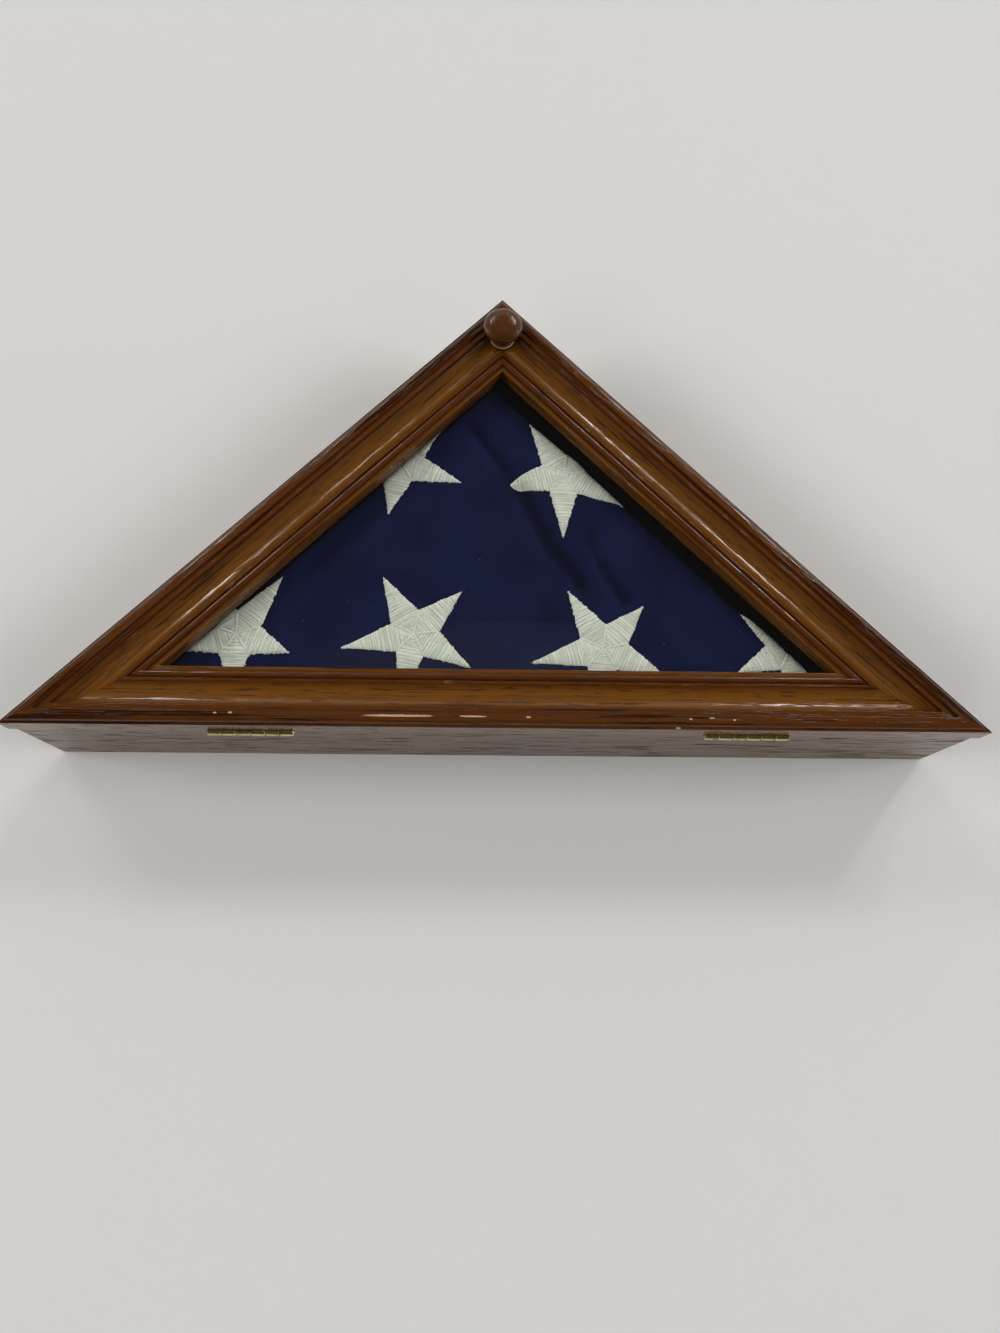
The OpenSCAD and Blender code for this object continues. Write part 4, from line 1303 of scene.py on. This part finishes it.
class FLAGCASE_OT_flag(bpy.types.Operator):
    """Folds the flag"""

    bl_idname = "flagcase.flag"
    bl_label = "Folded flag"

    def execute(self, context):
        f = context.scene.flagcase_flag
        ply = TopPly(f)
        material = self.cloth_material(f)
        self.build_pack(f, ply, material)
        thread = self.thread_material(f)
        for star in STARS:
            self.build_star(f, ply, star, thread)
        return {"FINISHED"}

    def cloth_material(self, f):
        material, tree, shader = new_material("navy_cotton", Specular_IOR_Level=0.03)
        place = tree.place()
        weave = use(tree, effect("weave"), Vector=place, Pitch=0.0008)
        cloudy = tree.noise(place, 22.0, 3.0, 0.6)
        shade = tree.mix(tree.ramp(cloudy, (0.35, 0.0), (0.7, 1.0)),
                         rgba([c * 0.8 for c in f.navy]), rgba([c * 1.25 for c in f.navy]))
        lint = tree.ramp(tree.noise(place, 700.0, 1.0, 0.4), (0.79, 0.0), (0.82, 1.0))
        # Painted shade: the cloth is painted near black where it lies deep in a crease or rolls down at a
        # fold.
        fold_shade = tree.attribute("fold_shade")
        shade = tree.mix(tree.maths("MULTIPLY", fold_shade, 0.6), shade, (0.001, 0.0015, 0.005, 1))
        tree.link(tree.mix(tree.maths("MULTIPLY", lint, 0.5), shade, (0.35, 0.36, 0.4, 1)),
                  shader.inputs["Base Color"])
        tree.link(tree.maths("MULTIPLY_ADD", weave["Slubs"], 0.2, 0.78), shader.inputs["Roughness"])
        bump(tree, shader, weave["Height"], 0.25, 0.00004)
        return material

    def thread_material(self, f):
        material, tree, shader = new_material("satin_stitch", Sheen_Weight=0.2,
                                              Specular_IOR_Level=0.35)
        stitch = tree.attribute("stitch", "Vector")
        strands = tree.noise(tree.vector("MULTIPLY", stitch, (900.0, 90.0, 1.0)), 1.0, 3.0, 0.6)
        stitch_shading = tree.node("ShaderNodeSeparateXYZ", {0: stitch}).outputs["Z"]
        place = tree.place()
        soil = tree.noise(place, 60.0, 3.0, 0.6)
        dark = rgba([c * 0.62 for c in f.thread])
        lit = tree.mix(tree.ramp(strands, (0.3, 0.0), (0.62, 1.0)), dark, rgba(f.thread))
        soiled = tree.mix(tree.maths("MULTIPLY", soil, 0.25), lit, (0.50, 0.50, 0.40, 1))
        # Painted shade: the thread is painted darker where the stitches' relief is low, between stitches
        # and beside the seams; the needle holes darken it too.
        groove = tree.ramp(stitch_shading, (0.0, 0.68), (0.42, 1.0))
        needle = tree.ramp(tree.noise(place, 620.0, 1.0, 0.5), (0.27, 0.62), (0.34, 1.0))
        groove = tree.maths("MULTIPLY", groove, needle)
        tree.link(tree.mix(1.0, soiled, groove, "MULTIPLY"), shader.inputs["Base Color"])
        tree.link(tree.maths("MULTIPLY_ADD", strands, 0.3, 0.5), shader.inputs["Roughness"])
        bump(tree, shader, strands, 0.6, 0.0002)
        return material

    def build_pack(self, f, ply, material):
        """The top ply over a stack of folded bundles."""
        bm = bmesh.new()
        self.add_top(bm, ply)
        low_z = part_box("folded_flag")[0].z + 0.3 * MM
        high_z = ply.top_z - BUNDLE_DROP
        rng = random.Random(FOLD_SEED)
        thick = (high_z - low_z) / f.plies
        for k in range(f.plies):
            grow = rng.uniform(0, 3) * MM
            tuck = UPPER_TUCK * (k / f.plies) ** 2 + (TOP_TUCK if k > f.plies - 3 else 0)
            insets = {BASE: BUNDLE_BASE_IN + grow, RIGHT: f.right_in - 8 * MM + tuck + grow,
                      LEFT: f.left_in - 7 * MM + tuck + rng.uniform(0, 3) * MM}
            self.add_bundle(bm, insets, low_z + k * thick, thick, BUNDLE_CORNER_R, rng)
        bmesh.ops.recalc_face_normals(bm, faces=bm.faces)
        piece = object_from("flag_pack", bm)
        smooth(piece, CLOTH_SHARP)
        finish_piece(piece, material, "case", ["folded_flag"])

    def add_top(self, bm, ply):
        """The top ply as a closed sheet on a triangular grid of the flat cloth."""
        hem = ply.fold_r * math.pi / 2 + HEM_W
        insets = {s: ply.insets[s] + ply.fold_r - hem for s in ply.insets}
        rows = PLY_ROWS
        left = Vector((-HALF_W + insets[BASE] + insets[LEFT] * APEX_DRAW, EDGE_Y + insets[BASE]))
        right = Vector((HALF_W - insets[BASE] - insets[RIGHT] * APEX_DRAW, EDGE_Y + insets[BASE]))
        apex = Vector(((insets[LEFT] - insets[RIGHT]) / APEX_DRAW,
                       APEX_Y - (insets[LEFT] + insets[RIGHT]) / APEX_DRAW))
        index, top, bottom = {}, [], []
        for i in range(rows + 1):
            for j in range(rows + 1 - i):
                a, b = i / rows, j / rows
                flat = left * (1 - a - b) + right * b + apex * a
                index[i, j] = len(top)
                top.append(ply.point(flat.x, flat.y))
                bottom.append(ply.point(flat.x, flat.y, -PLY_T))
        faces = []
        for i in range(rows):
            for j in range(rows - i):
                faces.append((index[i, j], index[i, j + 1], index[i + 1, j]))
                if j < rows - i - 1:
                    faces.append((index[i, j + 1], index[i + 1, j + 1], index[i + 1, j]))
        verts, shell = closed_shell(top, bottom, faces)
        # Painted shade: each point stores how dark the cloth is painted from its depth below the top.
        layer = bm.verts.layers.float.new("fold_shade")
        made = [bm.verts.new(v) for v in verts]
        for vertex in made:
            vertex[layer] = ply.fold_shade(vertex.co)
        for face in shell:
            bm.faces.new([made[k] for k in face])

    def add_bundle(self, bm, insets, base_z, thick, corner_r, rng):
        """One folded bundle: a rounded triangle with soft, rolled edges of four plies."""
        outline = rounded_triangle(insets, corner_r, 10, 26)
        middle = sum(outline, Vector((0, 0))) / len(outline)
        section = []
        bulge = thick / BUNDLE_PLIES / 2
        for k in range(BUNDLE_PLIES):
            for i in range(5):
                turn = math.radians(-75 + 150 * i / 4)
                middle_z = base_z + thick * (k + 0.5) / BUNDLE_PLIES
                section.append((bulge * math.cos(turn) * 1.3, middle_z + bulge * math.sin(turn)))
        rings = []
        phase = rng.uniform(0, 50)
        for out, z in section:
            ring = []
            for k, p in enumerate(outline):
                away = (p - middle).normalized()
                wobble = 1.0 * MM * noise.noise(Vector((p.x * 14, p.y * 14, phase + z * 60)))
                q = p + away * (out + wobble - 1.2 * MM)
                ring.append(bm.verts.new((q.x, q.y, z)))
            rings.append(ring)
        n = len(outline)
        for lower, upper in zip(rings, rings[1:]):
            for k in range(n):
                bm.faces.new((lower[k], lower[(k + 1) % n], upper[(k + 1) % n], upper[k]))
        for ring, z in ((rings[0], section[0][1]), (rings[-1], section[-1][1])):
            hub = bm.verts.new((middle.x, middle.y, z))
            for k in range(n):
                bm.faces.new((ring[k], ring[(k + 1) % n], hub))

    def build_star(self, f, ply, star, thread):
        """One embroidered star that follows the cloth, its arms stitched across."""
        label, middle, arms = star
        centre = Vector(middle) * MM
        rng = random.Random(label)
        headings = [math.radians(90 + turn - 72 * k) for k, (reach, turn) in enumerate(arms)]
        bm = bmesh.new()
        layer = bm.verts.layers.float_vector.new("stitch")
        for k, (reach, turn) in enumerate(arms):
            after = (headings[k] + headings[(k + 1) % 5] - (2 * math.pi if k == 4 else 0)) / 2
            before = (headings[k] + headings[k - 1] + (2 * math.pi if k == 0 else 0)) / 2
            inner = [Vector((math.cos(a), math.sin(a))) * f.star_inner_r for a in (after, before)]
            taper = BLUNT_TAPER if (label, k) in BLUNT_ARMS else 1.0
            arm = Arm(k, centre, headings[k], reach * MM, inner, taper, f.stitch, rng)
            self.add_arm(bm, layer, ply, arm)
        bmesh.ops.remove_doubles(bm, verts=bm.verts, dist=WELD)
        bmesh.ops.dissolve_degenerate(bm, edges=bm.edges, dist=WELD / 2)
        self.close_below(bm)
        piece = object_from(f"star_{label}", bm)
        piece.data.shade_smooth()
        finish_piece(piece, thread, "case")

    def add_arm(self, bm, layer, ply, arm):
        """The arm's rows of stitches, laid on the cloth."""
        rows = []
        for i in range(arm.stitches * ROWS_PER_STITCH + 1):
            row = []
            for j in range(STITCH_COLUMNS + 1):
                flat, lift, stitch = arm.point(i, math.sin(math.pi * (j / STITCH_COLUMNS - 0.5)))
                vertex = bm.verts.new(ply.point(flat.x, flat.y, lift))
                vertex[layer] = stitch
                row.append(vertex)
            rows.append(row)
        for lower, upper in zip(rows, rows[1:]):
            for j in range(STITCH_COLUMNS):
                bm.faces.new((lower[j], upper[j], upper[j + 1], lower[j + 1]))

    def close_below(self, bm):
        """Gives the stitching a skirt into the cloth and a flat underside."""
        rim = [e for e in bm.edges if len(e.link_faces) == 1]
        wall = bmesh.ops.extrude_edge_only(bm, edges=rim)["geom"]
        skirt = [v for v in wall if isinstance(v, bmesh.types.BMVert)]
        bmesh.ops.translate(bm, vec=(0, 0, -SKIRT_H), verts=skirt)
        bottom = [e for e in bm.edges if len(e.link_faces) == 1]
        bmesh.ops.contextual_create(bm, geom=bottom)
        bmesh.ops.triangulate(bm, faces=[x for x in bm.faces if len(x.verts) > 4])
        bmesh.ops.recalc_face_normals(bm, faces=bm.faces)
        if bm.calc_volume(signed=True) < 0:
            bmesh.ops.reverse_faces(bm, faces=bm.faces)


def rounded_triangle(insets, radius, arc_steps, side_steps):
    """Outline in plan of a triangle at the given insets, with round corners."""
    corners = []
    for first, second in ((LEFT, BASE), (BASE, RIGHT), (RIGHT, LEFT)):
        lines = []
        for side in (first, second):
            to_row = side_matrix(side)
            lines.append((to_row @ Vector((0, insets[side] + radius, 0)),
                          to_row.to_3x3() @ Vector((1, 0, 0))))
        (p, d), (q, e) = lines
        share = ((q.x - p.x) * e.y - (q.y - p.y) * e.x) / (d.x * e.y - d.y * e.x)
        corners.append((p + d * share).xy)
    outward_angles = (SIDE_TURNS[LEFT], SIDE_TURNS[BASE], SIDE_TURNS[RIGHT], SIDE_TURNS[LEFT])
    points = []
    for k, centre in enumerate(corners):
        start = outward_angles[k] - math.pi / 2
        end = outward_angles[k + 1] - math.pi / 2
        while end < start:
            end += 2 * math.pi
        for i in range(arc_steps + 1):
            a = start + (end - start) * i / arc_steps
            points.append(centre + Vector((math.cos(a), math.sin(a))) * radius)
        following = corners[(k + 1) % 3] + Vector((math.cos(end), math.sin(end))) * radius
        last = points[-1]
        points += [last.lerp(following, i / side_steps) for i in range(1, side_steps)]
    return points


# ---- Stage ----------------------------------------------------------------------------------

# Each lamp: name, azimuth and elevation in degrees, width and height in metres, share of its group's
# power and tint
WINDOWS = (
    ("window_right", 42, 40, 0.6, 0.8, 1.0, (1.0, 0.985, 0.96)),
    ("window_far_right", 27, 39, 0.6, 0.8, 0.6, (1.0, 0.985, 0.96)),
    ("window_left", -42, 38, 0.6, 0.8, 0.55, (1.0, 0.985, 0.95)),
    ("window_far_left", -27, 40, 0.6, 0.8, 0.4, (1.0, 0.985, 0.95)),
    ("window_far", -4, 34, 3.6, 1.2, 0.2, (1.0, 1.0, 1.0)),
    ("window_side_right", 91, 7, 0.5, 0.9, 0.5, (1.0, 0.985, 0.96)),
    ("window_side_left", -91, 7, 0.5, 0.9, 0.3, (1.0, 0.985, 0.95)),
)
SOFTBOXES = (
    ("softbox_near_right", 140, 42, 1.8, 1.6, 0.12, (1.0, 1.0, 1.0)),
    ("softbox_near_left", -140, 42, 1.8, 1.6, 0.32, (1.0, 1.0, 1.0)),
    ("softbox_right", 93, 38, 3.0, 2.0, 1.3, (1.0, 1.0, 1.0)),
    ("softbox_left", -93, 38, 3.0, 2.0, 1.3, (1.0, 0.99, 0.97)),
)
LAMP_REACH = 6.0

# Where the camera stands, in metres, its turn about x, y and z in degrees, and its sensor in millimetres
CAMERA_PLACE = (-0.01838, -0.30225, 0.73768)
CAMERA_TURN = (15.938, -1.640, 0.213)
SENSOR_W = 36
FLOOR_R = 9

# Height of the direction at which the walls end, the slope of the ceiling towards the near side, and
# how far walls and ceiling fade into each other, then where the glow overhead starts and is full, and
# its strength
WALL_TOP = 0.33
NEAR_SLOPE = -0.3
NEAR_STEEPNESS = 2.0
WALL_FADE = 0.27
GLOW_START = 0.942
GLOW_END = 0.955
GLOW = 0.08


def sky_place(azimuth, elevation, distance):
    """A place seen from the object at an azimuth from +Y towards +X and an elevation, in degrees."""
    a, e = math.radians(azimuth), math.radians(elevation)
    return Vector((math.sin(a) * math.cos(e), math.cos(a) * math.cos(e), math.sin(e))) * distance


class FLAGCASE_OT_stage(bpy.types.Operator):
    """Sets the camera, the lamps and the floor"""

    bl_idname = "flagcase.stage"
    bl_label = "Stage"

    def execute(self, context):
        s = context.scene.flagcase_stage
        self.make_camera(context, s)
        self.make_floor(s)
        self.make_lamps(s)
        self.make_room(context, s)
        context.scene.view_settings.view_transform = "Standard"
        return {"FINISHED"}

    def make_camera(self, context, s):
        data = bpy.data.cameras.new("camera")
        data.lens = s.lens
        data.sensor_width = SENSOR_W
        camera = bpy.data.objects.new("camera", data)
        context.scene.collection.objects.link(camera)
        camera.location = CAMERA_PLACE
        camera.rotation_euler = [math.radians(a) for a in CAMERA_TURN]
        context.scene.camera = camera

    def make_floor(self, s):
        bm = bmesh.new()
        bmesh.ops.create_circle(bm, cap_ends=True, segments=64, radius=FLOOR_R)
        floor = object_from("floor", bm)
        material, tree, shader = new_material("pale_floor", Base_Color=rgba(s.floor), Roughness=0.9,
                                              Specular_IOR_Level=0.2)
        place = tree.place()
        bump(tree, shader, tree.noise(place, 260.0, 3.0, 0.6), 0.2, 0.0006)
        floor.data.materials.append(material)

    def make_lamps(self, s):
        for lamps, power, mirrored in ((WINDOWS, s.window_power, True),
                                       (SOFTBOXES, s.softbox_power, False)):
            for name, azimuth, elevation, width, height, share, tint in lamps:
                data = bpy.data.lights.new(name, "AREA")
                data.shape = "RECTANGLE"
                data.size, data.size_y = width, height
                data.energy = share * power
                data.color = tint
                lamp = bpy.data.objects.new(name, data)
                bpy.context.scene.collection.objects.link(lamp)
                lamp.visible_glossy = mirrored
                lamp.visible_transmission = mirrored
                lamp.location = sky_place(azimuth, elevation, LAMP_REACH)
                lamp.rotation_mode = "QUATERNION"
                lamp.rotation_quaternion = (-lamp.location).to_track_quat("-Z", "Y")

    def make_room(self, context, s):
        """Pale walls low down and a dim ceiling, so that the pane stays clear."""
        world = bpy.data.worlds.new("room")
        world.use_nodes = True
        tree = Tree(world.node_tree)
        background = world.node_tree.nodes["Background"]
        direction = tree.node("ShaderNodeTexCoord").outputs["Generated"]
        place = tree.node("ShaderNodeSeparateXYZ", {0: direction}).outputs
        up = tree.maths("SUBTRACT", place["Z"], WALL_TOP)
        near = tree.maths("MINIMUM", tree.maths("MULTIPLY", place["Y"], NEAR_SLOPE),
                          tree.maths("MULTIPLY", place["Z"], NEAR_STEEPNESS))
        rise = tree.maths("MAXIMUM", up, near)
        share = tree.node("ShaderNodeMapRange", {"Value": rise, "From Min": 0.0,
                                                 "From Max": WALL_FADE}).outputs["Result"]
        room = tree.mix(share, rgba(s.walls), rgba(s.ceiling))
        overhead = tree.node("ShaderNodeMapRange", {"Value": place["Z"], "From Min": GLOW_START,
                                                    "From Max": GLOW_END}).outputs["Result"]
        tree.link(tree.mix(tree.maths("MULTIPLY", overhead, GLOW), room, (1, 1, 1, 1), "ADD"),
                  background.inputs["Color"])
        background.inputs["Strength"].default_value = 1.0
        context.scene.world = world


# ---- Panel and registration -----------------------------------------------------------------

OPERATORS = (FLAGCASE_OT_stage, FLAGCASE_OT_boards, FLAGCASE_OT_mouldings, FLAGCASE_OT_knob,
             FLAGCASE_OT_plain_wood, FLAGCASE_OT_hinges, FLAGCASE_OT_fixings, FLAGCASE_OT_glass,
             FLAGCASE_OT_flag)
SETTINGS = {"flagcase_moulding": MouldingSettings, "flagcase_wood": WoodSettings,
            "flagcase_flag": FlagSettings, "flagcase_metal": MetalSettings,
            "flagcase_stage": StageSettings}


class FLAGCASE_PT_build(bpy.types.Panel):
    """Lists the settings and the pieces of the case"""

    bl_label = "Folded Flag Display Case"
    bl_idname = "FLAGCASE_PT_build"
    bl_space_type = "VIEW_3D"
    bl_region_type = "UI"
    bl_category = "Flag Case"

    def draw(self, context):
        for operator in OPERATORS:
            self.layout.operator(operator.bl_idname)
        for name in SETTINGS:
            settings = getattr(context.scene, name)
            box = self.layout.box()
            for key in settings.bl_rna.properties.keys():
                if key not in ("rna_type", "name"):
                    box.prop(settings, key)


def register():
    for item in (*SETTINGS.values(), *OPERATORS, FLAGCASE_PT_build):
        bpy.utils.register_class(item)
    for name, settings in SETTINGS.items():
        setattr(bpy.types.Scene, name, PointerProperty(type=settings))


def unregister():
    for name in SETTINGS:
        delattr(bpy.types.Scene, name)
    for item in reversed((*SETTINGS.values(), *OPERATORS, FLAGCASE_PT_build)):
        bpy.utils.unregister_class(item)


def main():
    register()
    for operator in OPERATORS:
        getattr(bpy.ops.flagcase, operator.bl_idname.split(".")[1])()


if __name__ == "__main__":
    main()
